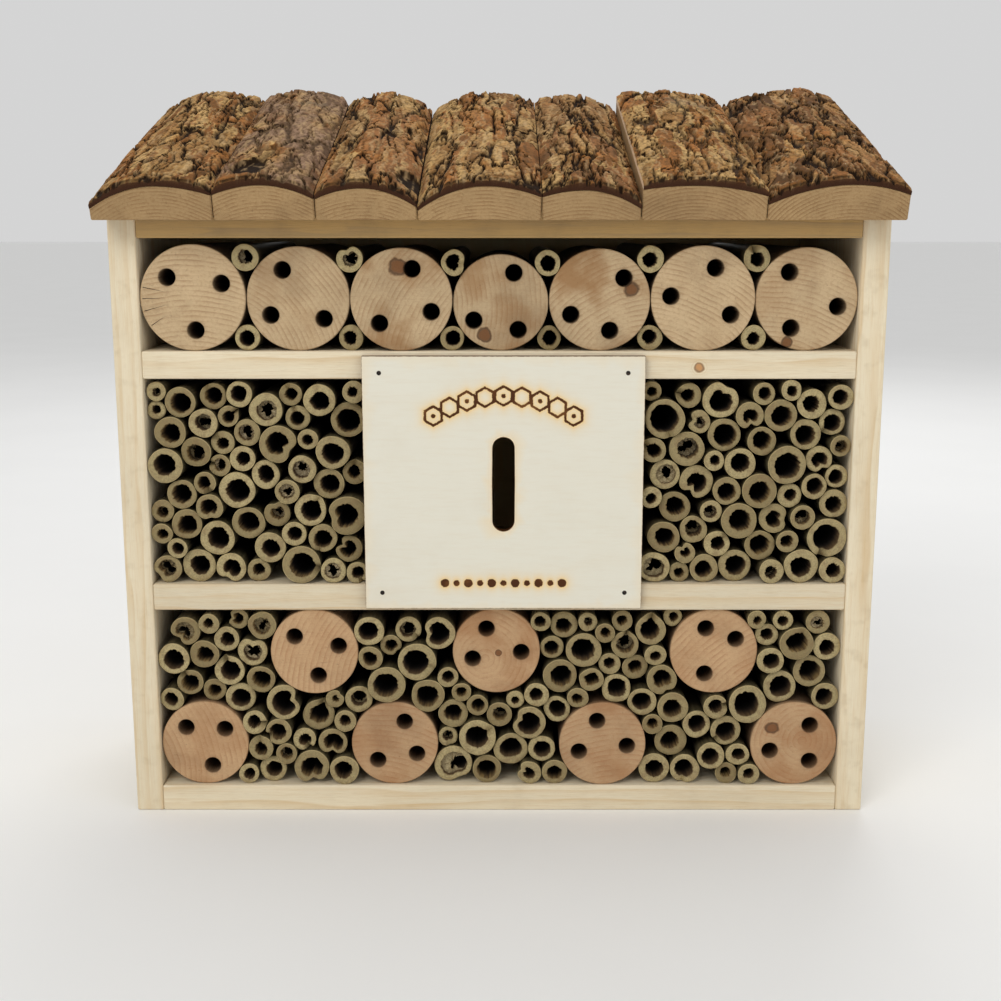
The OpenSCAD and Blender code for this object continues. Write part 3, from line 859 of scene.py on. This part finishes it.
class HOTEL_OT_slot_plate(bpy.types.Operator):
    """Makes the thin plate with its butterfly slot and burned ornament"""

    bl_idname = "hotel.slot_plate"
    bl_label = "Slot plate"

    def execute(self, context):
        low, high = extent("slot_plate")
        middle = ((low + high) / 2)[[0, 2]]
        slot = hole_outline("slot_plate", low[1], middle - (16, 40), middle + (16, 40))
        slot = slot[np.argsort(np.arctan2(slot[:, 1] - middle[1], slot[:, 0] - middle[0]))]
        slot = refined(slot, 0.8)
        outline = refined(oblong(low, high, high[2]), 1.2)
        fine = scatter(low[[0, 2]] + 1.2, high[[0, 2]] - 1.2, 0.5, 3)
        near = ornament(*(fine - middle).T)
        chance = np.clip(1.2 - near / 9, 0.03, 1) * 0.35
        fine = fine[(near < 1.6) | (np.random.default_rng(2).random(len(fine)) < chance)]
        gaps = np.linalg.norm(fine[:, None, :] - slot[None, ::2, :], axis=2).min(1)
        fine = fine[(gaps > 0.7) & ~inside(fine, slot)]
        extra = np.concatenate([shrunk(outline, middle, 0.5), shrunk(slot, middle, -0.45), fine])

        def finish(points, at_front):
            flat = points[:, [0, 2]]
            mark = ornament(*(flat - middle).T)
            slot_gap = np.linalg.norm(flat[:, None, :] - slot[None, :, :], axis=2).min(1)
            edge = np.minimum(flat - low[[0, 2]], high[[0, 2]] - flat).min(1)
            burn = np.where(slot_gap < 0.3, 0.95, soft_step(-mark, -0.25, 0.25))
            burn = np.where(edge < 0.05, 0.72, burn)
            scorch = np.maximum.reduce([
                0.75 * np.exp(-np.clip(mark, 0, None) / 1.7), 0.55 * np.exp(-slot_gap / 0.8),
                0.30 * np.exp(-edge / 0.6)])
            scorch = np.where(at_front, scorch, 0.1)
            grain = points[:, [2, 1, 0]] * (0.3, 4, 1) + (40, 20, 0)
            sunk = points.copy()
            sunk[:, 1] += np.where(at_front, 0.22 * soft_step(-mark, -0.2, 0.3), 0.0)
            return sunk, {"grain": grain, "burn": burn, "scorch": scorch, "tone": 0.5}

        make_sheet("slot_plate", plate_material(), "plate_ply", (outline, outline), [slot], extra, finish)
        return {"FINISHED"}


# ---- Roof slabs and bark ----


def roof_pitch():
    """The roof's slope, from the side board's sloped top."""
    outline = side_outline("side_board_left")
    return math.atan2(outline[2][1] - outline[3][1], outline[2][0] - outline[3][0])


def laid_flat(points, pitch):
    """Points turned so that the roof's slope lies level: across, up the slope, and off it."""
    turn = np.array([[math.cos(pitch), -math.sin(pitch)], [math.sin(pitch), math.cos(pitch)]])
    return np.column_stack([points[:, 0], points[:, 1:] @ turn])


def laid_back(points, pitch):
    """The opposite of laid_flat."""
    return laid_flat(points, -pitch)


def top_profile(flat):
    """The highest points of a slab's front end, laid flat, from left to right."""
    end = at_depth(flat, flat[:, 1].min(), 0.02)
    x = np.unique(end[:, 0].round(2))
    return x, np.array([end[np.abs(end[:, 0] - v) < 0.02][:, 2].max() for v in x])


def slab_rings(flat):
    """The closed outline of a slab at rows along its length, with eased ends."""
    x, top = top_profile(flat)
    base, corner, ease = flat[:, 2].min(), 0.5, 0.6
    start, end = flat[:, 1].min(), flat[:, 1].max()
    across = np.linspace(x[0], x[-1], 29)
    upper = np.interp(across, x, top)
    left_side = np.linspace(base + corner, upper[0], 5)[:-1]
    right_side = np.linspace(base + corner, upper[-1], 5)[-2::-1]
    lower = np.linspace(x[-1] - corner, x[0] + corner, 13)
    loop = np.column_stack([
        np.concatenate([np.full(4, x[0]), across, np.full(4, x[-1]), lower]),
        np.concatenate([left_side, upper, right_side, np.full(13, base)])])
    rows = [(start, ease), (start + ease, 0.0)] + [(s, 0.0) for s in np.linspace(start, end, 14)[1:-1]]
    rows += [(end - ease, 0.0), (end, ease)]
    return [standing(shrunk(loop, loop.mean(0), less), place) for place, less in rows]


class HOTEL_OT_roof_slabs(bpy.types.Operator):
    """Makes the sawn wood of the roof's slabs, with growth rings about each log's heart"""

    bl_idname = "hotel.roof_slabs"
    bl_label = "Roof slabs"

    def execute(self, context):
        material = wood(
            "slab wood", colours().slab, tinted(colours().slab, 0.50, 0.40, 0.32),
            spacing=1.6, waviness=2.2, contrast=0.85, dirt=0.4)
        pitch = roof_pitch()
        rng = np.random.default_rng(12)
        for k, node in enumerate(numbered("roof_slab")):
            flat = laid_flat(corners(node), pitch)
            x, top = top_profile(flat)
            crown = x[np.argmax(top)]
            heart = top.max() - rng.uniform(44, 62)
            points, faces = loft(slab_rings(flat), caps=(0, -1))
            grain = points[:, [0, 2, 1]] + (-crown, -heart, 90 * k)
            shape = Shape()
            shape.add(laid_back(points, pitch), faces, grain, tone=rng.uniform(0.3, 0.7), dark=0.0)
            settle(shape.build(node + "_wood", material), "slab_wood", node)
        return {"FINISHED"}


# For each strip of bark: how grey, how warm and how calm it is. Then the pits of two, deepened with painted
# shade, as a share of the width, a distance up the slope and a radius, and the one whose left side shows bare
# wood.
BARK_GREY = (0.10, 0.90, 0.25, 0.12, 0.25, 0.0, 0.20)
BARK_WARMTH = (0.06, 0.03, 0.10, 0.09, 0.06, 0.08, -0.10)
BARK_CALM = (0.0, 0.30, 0.0, 0.0, 0.0, 0.15, 0.0)
BARK_PITS = {1: (0.32, 18.0, 9.5), 2: (0.92, 18.0, 7.5)}
BARE_SIDE = 5


def bark_relief(x, s, seed, calm, pit):
    """How high the bark stands from 0 to 1, a number for each flake, and where its lip catches light."""
    u = x + 7.0 * (fractal(x / 7, s / 16, seed, 5) - 0.5)
    v = s + 26.0 * (fractal(x / 7, s / 18, seed + 1, 5) - 0.5)
    near, second, number = cells(u / 9, v / 32, seed + 2)
    plate_near, plate_second, plate = cells(u / 17, v / 75, seed + 3)
    levels = 5
    slope = np.clip((fractal(u / 11, v / 58, seed + 4, 5) - 0.22) * 1.75, 0, 0.999) * levels
    layer = np.floor(slope)
    part = slope - layer
    terrace = (layer + soft_step(part, 0.0, 0.10)) / levels
    seam = 1 - soft_step(plate_second - plate_near, 0.02, 0.09)
    flake_edge = 1 - soft_step(second - near, 0.015, 0.07)
    hair = veins(u / 5, v / 28, seed + 11, 4, 0.006, 0.024)
    cracks = np.maximum.reduce([
        veins(u / 9, v / 66, seed + 6, 5, 0.007, 0.032),
        seam * soft_step(fractal(x / 15, s / 24, seed + 8), 0.34, 0.48),
        0.75 * flake_edge * soft_step(fractal(x / 10, s / 16, seed + 10), 0.42, 0.54),
        0.6 * hair * soft_step(fractal(x / 9, s / 15, seed + 12), 0.40, 0.55)]) * (1 - calm)
    grit = fractal(x / 0.9, s / 2.2, seed + 5, 2)
    sag = fractal(x / 22, s / 40, seed + 9, 2)
    flakes = (0.42 * terrace + 0.18 * number + 0.18 * plate) * (1 - 0.6 * calm)
    height = 0.16 + flakes + 0.16 * sag + 0.3 * calm
    height = (height + 0.07 * (grit - 0.5)) * (1 - 0.85 * cracks)
    if pit:
        reach = np.hypot(x - pit[0], (s - pit[1]) / 1.4) / pit[2]
        reach = reach + 0.5 * (fractal(x / 3, s / 3, seed, 3) - 0.5)
        height = height * (0.06 + 0.94 * soft_step(reach, 0.75, 1.05))
    # Painted highlight: a light band just above each step, where a flake's edge catches light.
    lip = np.exp(-(((part - 0.15) / 0.08) ** 2)) * (1 - cracks)
    patch = (0.30 * number + 0.55 * plate + 0.21 * layer + 0.35 * fractal(u / 8, v / 40, seed + 7, 4)) % 1.0
    return np.clip(height, 0, 1), patch, lip


class HOTEL_OT_bark(bpy.types.Operator):
    """Makes the flaky bark that lies over each slab"""

    bl_idname = "hotel.bark"
    bl_label = "Bark"

    def execute(self, context):
        material = bark_material()
        pitch = roof_pitch()
        step = sizes().bark_step / MM * 1.0
        depth = sizes().bark_depth / MM
        for k, node in enumerate(numbered("bark")):
            wood_x, wood_top = top_profile(laid_flat(corners(node.replace("bark", "roof_slab")), pitch))
            flat = laid_flat(corners(node), pitch)
            start, end = flat[:, 1].min(), flat[:, 1].max()
            columns = max(8, int((wood_x[-1] - wood_x[0]) / step))
            rows = int((end - start) / step)
            x = np.linspace(wood_x[0], wood_x[-1], columns)
            s = np.linspace(start, end, rows)
            across, along = np.meshgrid(x, s)
            apart = 70 * k
            pit = BARK_PITS.get(k)
            if pit:
                pit = (x[0] + pit[0] * (x[-1] - x[0]) + apart, start + pit[1], pit[2])
            level, tone, lip = bark_relief(across + apart, along, 100 + 17 * k, BARK_CALM[k], pit)
            ragged = 0.9 * (fractal(x / 4, x * 0, 40 + k, 3) - 0.3)
            fade = soft_step(np.minimum(across - x[0], x[-1] - across), 0.0, 3.0)
            front = soft_step(along - start, 0.0, 2.0)
            relief = (0.34 + 0.66 * level) * depth * (0.62 + 0.38 * fade) * (0.66 + 0.34 * front)
            # Risers that face down the slope, towards the front, which get painted shade.
            painted_riser_shade = soft_step(np.gradient(relief, s, axis=0), 0.25, 1.1)
            grey = BARK_GREY[k] * soft_step(fractal(across / 18, along / 24, 500 + k, 4), 0.25, 0.65)
            base = np.interp(x, wood_x, wood_top)
            top = np.stack([across, along - (1 - front) * ragged, base + relief], axis=2)
            top[:, 1:-1, 0] += 0.5 * (fractal(across / 5, along / 5, 300 + k, 2) - 0.5)[:, 1:-1]
            points, faces = loft(top, closed=False)
            front_under = len(points)
            rear_under = front_under + columns
            last_row = front_under - columns
            under = np.column_stack([x, base + 0.02])
            points = np.concatenate([points, standing(under, start), standing(under, end)])
            for first, second in ((front_under, 0), (last_row, rear_under), (rear_under, front_under)):
                faces += strip(first, second, columns, closed=False)
            cut = np.zeros(len(points))
            cut[front_under:] = 1.0
            cut[:columns] = 0.9
            # Painted shade: the level that the colour reads is lowered on the risers that face down the
            # slope.
            values = {"level": level * (1 - 0.8 * painted_riser_shade), "tone": tone, "lip": lip, "grey": grey}
            values = {key: np.append(value, np.zeros(2 * columns)) for key, value in values.items()}
            shape = Shape()
            shape.add(laid_back(points, pitch), faces, points, cut=cut, warmth=BARK_WARMTH[k], **values)
            left = np.append(np.arange(rows) * columns, [rear_under, front_under])
            for side, bare in ((left, k == BARE_SIDE), (left + columns - 1, False)):
                edge = points[side]
                shape.add(laid_back(edge, pitch), [tuple(range(len(edge)))], edge, cut=not bare, bare=bare)
            settle(shape.build(node + "_flakes", material, sharp=60), "bark", node)
        return {"FINISHED"}


# ---- Logs ----

# For each log: its heart's direction, least and most distance from the middle, its tone and its stain.
TOP_LOGS = (
    (88, 55, 95, 0.15, 0.1), (40, 55, 95, 0.55, 0.35), (150, 55, 95, 0.60, 0.75), (2, 55, 95, 0.95, 0.6),
    (118, 55, 95, 0.55, 0.8), (65, 55, 95, 0.05, 0.15), (75, 55, 95, 0.30, 0.3))
BOTTOM_LOGS = (
    (15, 40, 85, 0.4, 0.3), (160, 40, 85, 0.3, 0.2), (80, 40, 85, 0.75, 0.4), (35, 4, 12, 0.5, 0.5),
    (100, 40, 85, 0.9, 0.5), (130, 40, 85, 0.3, 0.3), (200, 4, 12, 0.8, 0.5))
# Knots: the log, counted from 0, where they lie from its middle, across and up, and their radius.
TOP_KNOTS = ((2, -1.5, 15.0, 4.2), (3, -7.5, -15.0, 3.4), (4, 14.5, 5.0, 3.6), (6, -8.5, -20.0, 2.6))
BOTTOM_KNOTS = ((6, -11.0, 8.0, 3.4), (3, 1.0, -1.0, 1.6))
# Drying splits of the first top log: their direction and their length.
SPLITS = ((168, 11), (181, 9), (195, 11), (213, 8))


def log_holes(node):
    """A log's middle, radius, front, rear, and the middles and radii of its nest holes."""
    points = corners(node)
    low, high = points.min(0), points.max(0)
    middle = (low + high)[[0, 2]] / 2
    radius = (high[0] - low[0]) / 2
    hole_reach = 9.5
    face = np.unique(at_depth(points, low[1])[:, [0, 2]].round(3), axis=0)
    rest = face[np.linalg.norm(face - middle, axis=1) < radius - 0.6]
    found = []
    while len(rest):
        near = np.linalg.norm(rest - rest[0], axis=1) < hole_reach
        rim, rest = rest[near], rest[~near]
        found.append(((rim.min(0) + rim.max(0)) / 2, np.ptp(rim[:, 0]) / 2))
    return middle, radius, low[1], high[1], found


def uneven_circle(middle, radius, count, amount, rng):
    """A circle whose radius wanders a little."""
    angles = angles_round(count)
    return middle + circling((0, 0), radius + amount * waves(angles, range(2, 9), rng), angles)


def split_outline(middle, radius, turn, length, width=0.17):
    """A thin wedge that runs in from a log's rim, as a drying split."""
    out = np.array([math.cos(math.radians(turn)), math.sin(math.radians(turn))])
    side = np.array([-out[1], out[0]]) * width
    outer, inner = (middle + out * (radius - 1.0 - run) for run in (0, length))
    half = (outer + inner) / 2
    return np.array([outer - side, outer + side, half + side * 0.6, inner, half - side * 0.6])


def add_log(shape, node, rng, heart, tone, stain, splits):
    """A log with drilled holes, rounded rims and a worn front face."""
    middle, radius, front, rear, found = log_holes(node)
    chamfer = 0.45
    holes = [uneven_circle(centre, bore + 0.35, 40, 0.05, rng) for centre, bore in found]
    cuts = holes + [split_outline(middle, radius, *split) for split in splits]
    outer = uneven_circle(middle, radius - chamfer, 110, 0.02, rng)
    extra = scatter(middle - radius, middle + radius, 1.6, int(rng.integers(1 << 30)), [outer] + cuts)
    extra = extra[inside(extra, outer)]
    for loop in cuts:
        extra = extra[~inside(extra, loop)]
    flat, faces = pierced(outer, cuts, extra)
    sag = 0.16 * (fractal(flat[:, 0] / 6 + 50, flat[:, 1] / 6 + 50, int(rng.integers(900)), 3) - 0.5)
    face = standing(flat, front + 0.1 + sag)
    starts = np.cumsum([len(outer)] + [len(loop) for loop in cuts])
    # Painted shade: a little round the rims of the holes and splits on the front face.
    dark = np.zeros(len(flat))
    dark[starts[0] : starts[len(holes)]] = 0.10
    dark[starts[len(holes)] : starts[-1]] = 0.12

    def patch(points, quads, dark):
        grain = points[:, [0, 2, 1]] + (heart[0] - middle[0], heart[1] - middle[1], 0)
        shape.add(points, quads, grain, tone=tone, dark=dark, stain=stain)

    def wall(rings, painted_shades):
        patch(*loft(rings, caps=(-1,)), np.repeat(painted_shades, len(rings[0])))

    patch(face, faces, dark)
    rows = [(front + chamfer, radius - 0.02)]
    rows += [(y, radius) for y in np.linspace(front + 4, rear - 1, 6)] + [(rear, radius - 0.5)]
    rings = [standing(middle + outward(outer, middle) * reach, y) for y, reach in rows]
    # Painted shade on the log's sides, which show only in the gaps between logs.
    wall([face[: len(outer)]] + rings, [0.0, 0.15] + [0.80] * (len(rows) - 1))
    rims = [face[a:b] for a, b in zip(starts, starts[1:])]
    bottom = min(98.0, rear - front - 8)
    # Painted shade in the bores, growing with depth until little of the wood's colour is left.
    depths, painted_shades = (0.5, 3, 9, 25, bottom), (0.10, 0.50, 0.66, 0.84, 1.0, 1.0)
    for rim, loop, (centre, bore) in zip(rims, holes, found):
        ring = centre + outward(loop, centre) * bore
        wall([rim] + [standing(ring, front + depth) for depth in depths], painted_shades)
    for rim in rims[len(holes) :]:
        centre = rim.mean(0)
        # Painted shade inside the splits.
        wall([rim, centre + (rim - centre) * (0.7, 1, 0.7) + (0, 2.5, 0)], [0.9, 1.0])


def make_logs(stem, base, late, rings, waviness, contrast, knots, knot_colour, seed, logs, splits=()):
    """Makes a set of logs in one wood. late are the late wood's factors, and rings the spacing's factor."""
    nodes = numbered(stem)
    places = []
    for log, x, z, radius in knots:
        low, high = extent(nodes[log])
        place = Vector(((low[0] + high[0]) / 2 + x, low[1], (low[2] + high[2]) / 2 + z)) * MM
        places.append((place, radius * MM))
    material = wood(
        stem.replace("_", " ") + " wood", base, tinted(base, *late), sizes().ring_spacing / MM * rings,
        waviness, contrast, dirt=0.4, knots=places, knot_colour=knot_colour)
    rng = np.random.default_rng(seed)
    for node, (turn, least, most, tone, stain) in zip(nodes, cycle(logs)):
        away, turn = rng.uniform(least, most), math.radians(turn)
        shape = Shape()
        heart = (away * math.cos(turn), away * math.sin(turn))
        add_log(shape, node, rng, heart, tone, stain, splits if node == nodes[0] else ())
        settle(shape.build(node + "_drilled", material), stem + "_wood", node)


class HOTEL_OT_top_logs(bpy.types.Operator):
    """Makes the top row of drilled logs"""

    bl_idname = "hotel.top_logs"
    bl_label = "Top logs"

    def execute(self, context):
        make_logs(
            "top_log", colours().top_log, late=(0.55, 0.44, 0.36), rings=1.0, waviness=3.2, contrast=0.72,
            knots=TOP_KNOTS, knot_colour=(0.160, 0.062, 0.018), seed=21, logs=TOP_LOGS, splits=SPLITS)
        return {"FINISHED"}


class HOTEL_OT_bottom_logs(bpy.types.Operator):
    """Makes the drilled logs of the bottom room"""

    bl_idname = "hotel.bottom_logs"
    bl_label = "Bottom logs"

    def execute(self, context):
        make_logs(
            "bottom_log", colours().low_log, late=(0.62, 0.46, 0.38), rings=1.15, waviness=3.0, contrast=0.60,
            knots=BOTTOM_KNOTS, knot_colour=(0.185, 0.072, 0.024), seed=33, logs=BOTTOM_LOGS)
        return {"FINISHED"}


# ---- Canes ----


def dip(angles, at, width):
    """1 at one angle, fading to 0 over a width either side."""
    gap = (angles - at + math.pi) % FULL_TURN - math.pi
    return np.exp(-((gap / width) ** 2))


def add_cane(shape, solid, rng, count=40):
    """One cane: slightly oval, with an uneven wall, a sawn rim and sometimes a dent, a chip or pith."""
    low, high = solid.min(0), solid.max(0)
    middle = (low + high)[[0, 2]] / 2
    radius = (high[0] - low[0]) / 2
    front, rear = low[1], high[1]
    thick = radius - np.linalg.norm(solid[:, [0, 2]] - middle, axis=1).min()
    angles = angles_round(count)
    wobble = sizes().cane_wobble
    outer = radius * (1 - wobble * 0.5 + wobble * 0.6 * waves(angles, (2, 3, 4, 5), rng))
    outer = np.minimum(outer, radius * 1.015)
    wall = thick * rng.uniform(0.80, 1.12) * (1 + 0.16 * np.cos(angles - rng.uniform(0, ANY_PHASE)))
    wall = wall * (1 + 0.06 * rng.normal(size=count))
    fate, damaged = rng.random(), sizes().damaged_canes
    dent = chip = np.zeros(count)
    at = rng.uniform(0, ANY_PHASE)
    if fate < damaged * 0.45:
        dent = radius * rng.uniform(0.18, 0.42) * dip(angles, at, rng.uniform(0.3, 0.55))
    elif fate < damaged:
        chip = rng.uniform(2.0, 6.0) * dip(angles, at, rng.uniform(0.16, 0.42))
        chip = chip * rng.uniform(0.8, 1.2, count)
    inner = np.maximum(outer - dent - wall, radius * 0.22)
    outer = outer - dent
    inner = np.minimum(inner, outer - 0.6)
    slope = rng.uniform(-0.5, 0.5, 2)
    tilt = slope[0] * np.cos(angles) + slope[1] * np.sin(angles)
    rough = 0.12 * rng.normal(size=count)
    tone = rng.random()
    soft = min(0.45, thick * 0.25)
    # Down the outside, over the rim and back up the bore: how far behind the front, the profile, how
    # much of the rim's unevenness it takes, and its zone from 0 on the skin to 1 in the bore.
    rows = [
        (rear - front, outer, 0.0, 0.0), (45, outer, 0.0, 0.0), (14, outer, 0.0, 0.0), (5, outer, 0.5, 0.05),
        (1.2, outer, 1.0, 0.1), (soft, outer, 1.0, 0.25), (0, outer - soft, 1.0, 0.5),
        (0.05, (outer + inner) / 2, 1.0, 0.5), (0, inner + soft * 0.8, 1.0, 0.55), (soft, inner, 1.0, 0.75),
        (1.6, inner, 0.9, 0.95), (5, inner, 0.4, 1.0), (16, inner, 0.0, 1.0), (50, inner, 0.0, 1.0),
        (rear - front, inner, 0.0, 1.0)]
    rings, depths = [], []
    for y, profile, uneven, zone in rows:
        depth = y + uneven * (tilt + chip + (rough if 0.2 < zone < 0.7 else 0))
        depths.append(np.clip(depth, -0.4, rear - front))
        rings.append(standing(circling(middle, profile, angles), front + depths[-1]))
    points, faces = loft(rings)
    faces += strip(len(points) - count, 0, count)
    zones = np.repeat([row[3] for row in rows], count)
    shape.add(points, faces, zone=zones, depth=np.concatenate(depths), tone=tone, pith=0.0)
    if rng.random() < 0.17:
        add_pith(shape, middle, inner, front + rng.uniform(2.0, 9.0), angles, rng, tone)


def add_pith(shape, middle, inner, y, angles, rng, tone):
    """The torn skin of a joint across the inside of a cane."""
    count = len(angles)
    ragged = waves(angles, range(1, 10), rng)
    hole = np.clip(rng.uniform(0.45, 0.8) + 0.22 * ragged + 0.06 * rng.normal(size=count), 0.12, 0.95)
    rim, half = np.full(count, 1.03), hole + (1 - hole) * 0.4
    rings = []
    for depth, reach in ((0.0, rim), (-0.4, half), (-0.6, hole), (-0.1, hole), (0.4, half), (0.7, rim)):
        place = y + depth + 0.5 * rng.normal(size=count) * (reach < 1)
        rings.append(standing(circling(middle, inner * reach, angles), place))
    points, faces = loft(rings)
    faces += strip(len(points) - count, 0, count)
    shape.add(points, faces, zone=0.6, depth=4.0, tone=tone, pith=rng.uniform(0.25, 0.8))


class HOTEL_OT_canes(bpy.types.Operator):
    """Makes every hollow cane, with oval walls, sawn rims, dents, chips and torn joints"""

    bl_idname = "hotel.canes"
    bl_label = "Canes"

    def execute(self, context):
        material = cane_material()
        rng = np.random.default_rng(8)
        for node in CANE_NODES:
            shape = Shape()
            for solid in islands(node):
                add_cane(shape, solid, rng)
            settle(shape.build(node + "_hollow", material, sharp=50), "cane", node)
        return {"FINISHED"}


# ---- Nails ----


def add_nail(shape, solid, proud):
    """A nail with a slightly domed, ringed head that stands a little proud, and a point."""
    middle = solid.mean(0)
    axis = np.linalg.svd(solid - middle, full_matrices=False)[2][0]
    along = (solid - middle) @ axis
    reach = np.linalg.norm(solid - middle - np.outer(along, axis), axis=1)
    if reach[along > along.max() - 0.05].max() < reach[along < along.min() + 0.05].max():
        axis, along = -axis, -along
    head = reach[along > along.max() - 0.05].max()
    shank = np.median(reach[(along < along.max() - 1.5) & (reach > 0.3)])
    top, point = along.max(), along.min()
    side = np.cross(axis, (0.0, 0.0, 1.0) if abs(axis[2]) < 0.9 else (1.0, 0.0, 0.0))
    side /= np.linalg.norm(side)
    rows = [(proud, 0.12), (proud, head * 0.45), (proud * 0.85, head * 0.55), (proud * 0.9, head * 0.8),
            (proud * 0.5, head * 0.97), (-0.1, head), (-0.6, head * 0.98), (-0.9, shank),
            (point + 3 - top, shank), (point - top, 0.15)]
    around = circling((0, 0), 1, angles_round(24)) @ [side, np.cross(axis, side)]
    rings = [middle + axis * (top + height) + around * radius for height, radius in rows]
    shape.add(*loft(rings, caps=(0, -1)))


class HOTEL_OT_nails(bpy.types.Operator):
    """Makes the nails of the frame, back and roof, and the plate's brads"""

    bl_idname = "hotel.nails"
    bl_label = "Nails and brads"

    def execute(self, context):
        steel = steel_material("nail steel", (0.34, 0.34, 0.34), 0.7)
        dark_steel = steel_material("brad steel", (0.030, 0.027, 0.025), 0.3)
        kinds = [(node, steel, "nail_steel", 0.22) for node in NAIL_NODES]
        for node, material, slot, proud in kinds + [("plate_brads", dark_steel, "brad_steel", 0.15)]:
            shape = Shape()
            for solid in islands(node):
                add_nail(shape, solid, proud)
            settle(shape.build(node + "_heads", material), slot, node)
        return {"FINISHED"}


# ---- Stage ----


def area_light(name, place, target, size, power, tint=(1.0, 1.0, 1.0)):
    """A soft square light that faces a target."""
    light = bpy.data.lights.new(name, "AREA")
    light.shape = "SQUARE"
    light.size = size
    light.energy = power
    light.color = tint
    lamp = bpy.data.objects.new(name, light)
    bpy.context.scene.collection.objects.link(lamp)
    lamp.location = place
    lamp.rotation_euler = (Vector(target) - Vector(place)).to_track_quat("-Z", "Y").to_euler()


class HOTEL_OT_stage(bpy.types.Operator):
    """Sets the pale floor, the soft lights and the camera"""

    bl_idname = "hotel.stage"
    bl_label = "Stage"

    def execute(self, context):
        scene = context.scene
        mesh = bpy.data.meshes.new("floor")
        reach = 30.0
        around = [(-reach, -reach, 0), (reach, -reach, 0), (reach, reach, 0), (-reach, reach, 0)]
        mesh.from_pydata(around, [], [(0, 1, 2, 3)])
        floor = bpy.data.objects.new("floor", mesh)
        scene.collection.objects.link(floor)
        material, t, shader = new_material("pale floor")
        t.feed(shader, "Base Color", t.mix(t.noise(t.place(), 6.0), (0.88, 0.88, 0.87), (0.92, 0.92, 0.91)))
        shader.inputs["Roughness"].default_value = 0.9
        mesh.materials.append(material)
        world = bpy.data.worlds.new("studio")
        world.use_nodes = True
        sky = world.node_tree.nodes["Background"].inputs
        sky[0].default_value = (1.0, 1.0, 1.0, 1.0)
        sky[1].default_value = 0.66
        scene.world = world
        aim = (0.0, 0.0, 0.18)
        area_light("key", (-0.75, -1.55, 1.45), aim, size=0.9, power=12.5, tint=(1.0, 0.985, 0.96))
        area_light("fill", (1.25, -1.5, 0.75), aim, size=1.3, power=3.5, tint=(0.98, 0.99, 1.0))
        area_light("back", (0.3, 1.4, 1.5), aim, size=1.0, power=9.0)
        lens = bpy.data.cameras.new("camera")
        lens.lens = 49.8
        lens.sensor_width = 36.0
        camera = bpy.data.objects.new("camera", lens)
        scene.collection.objects.link(camera)
        distance, height, tilt = 0.647, 0.284, 11.1
        front = extent("bottom_board")[0][1] * MM
        camera.location = (0.0006, front - distance, height)
        camera.rotation_euler = (math.radians(90 - tilt), 0, 0)
        scene.camera = camera
        scene.view_settings.view_transform = "Standard"
        scene.view_settings.look = "None"
        return {"FINISHED"}


class HOTEL_PT_panel(bpy.types.Panel):
    """Lists the hotel's pieces in the 3D view's sidebar"""

    bl_idname = "HOTEL_PT_panel"
    bl_label = "Insect Hotel"
    bl_space_type = "VIEW_3D"
    bl_region_type = "UI"
    bl_category = "Insect Hotel"

    def draw(self, context):
        for operator in OPERATORS:
            self.layout.operator(operator.bl_idname)
        for settings in (context.scene.hotel_sizes, context.scene.hotel_colours):
            box = self.layout.box()
            for name in settings.__annotations__:
                box.prop(settings, name)


OPERATORS = (
    HOTEL_OT_stage, HOTEL_OT_frame_boards, HOTEL_OT_roof_board, HOTEL_OT_back_panel, HOTEL_OT_slot_plate,
    HOTEL_OT_roof_slabs, HOTEL_OT_bark, HOTEL_OT_top_logs, HOTEL_OT_bottom_logs, HOTEL_OT_canes,
    HOTEL_OT_nails,
)
CLASSES = (HotelSizes, HotelColours) + OPERATORS + (HOTEL_PT_panel,)


def register():
    for item in CLASSES:
        bpy.utils.register_class(item)
    bpy.types.Scene.hotel_sizes = bpy.props.PointerProperty(type=HotelSizes)
    bpy.types.Scene.hotel_colours = bpy.props.PointerProperty(type=HotelColours)


def unregister():
    del bpy.types.Scene.hotel_colours
    del bpy.types.Scene.hotel_sizes
    for item in reversed(CLASSES):
        bpy.utils.unregister_class(item)


def main():
    """Builds the hotel."""
    register()
    for operator in OPERATORS:
        section, name = operator.bl_idname.split(".")
        getattr(getattr(bpy.ops, section), name)()


if __name__ == "__main__":
    main()
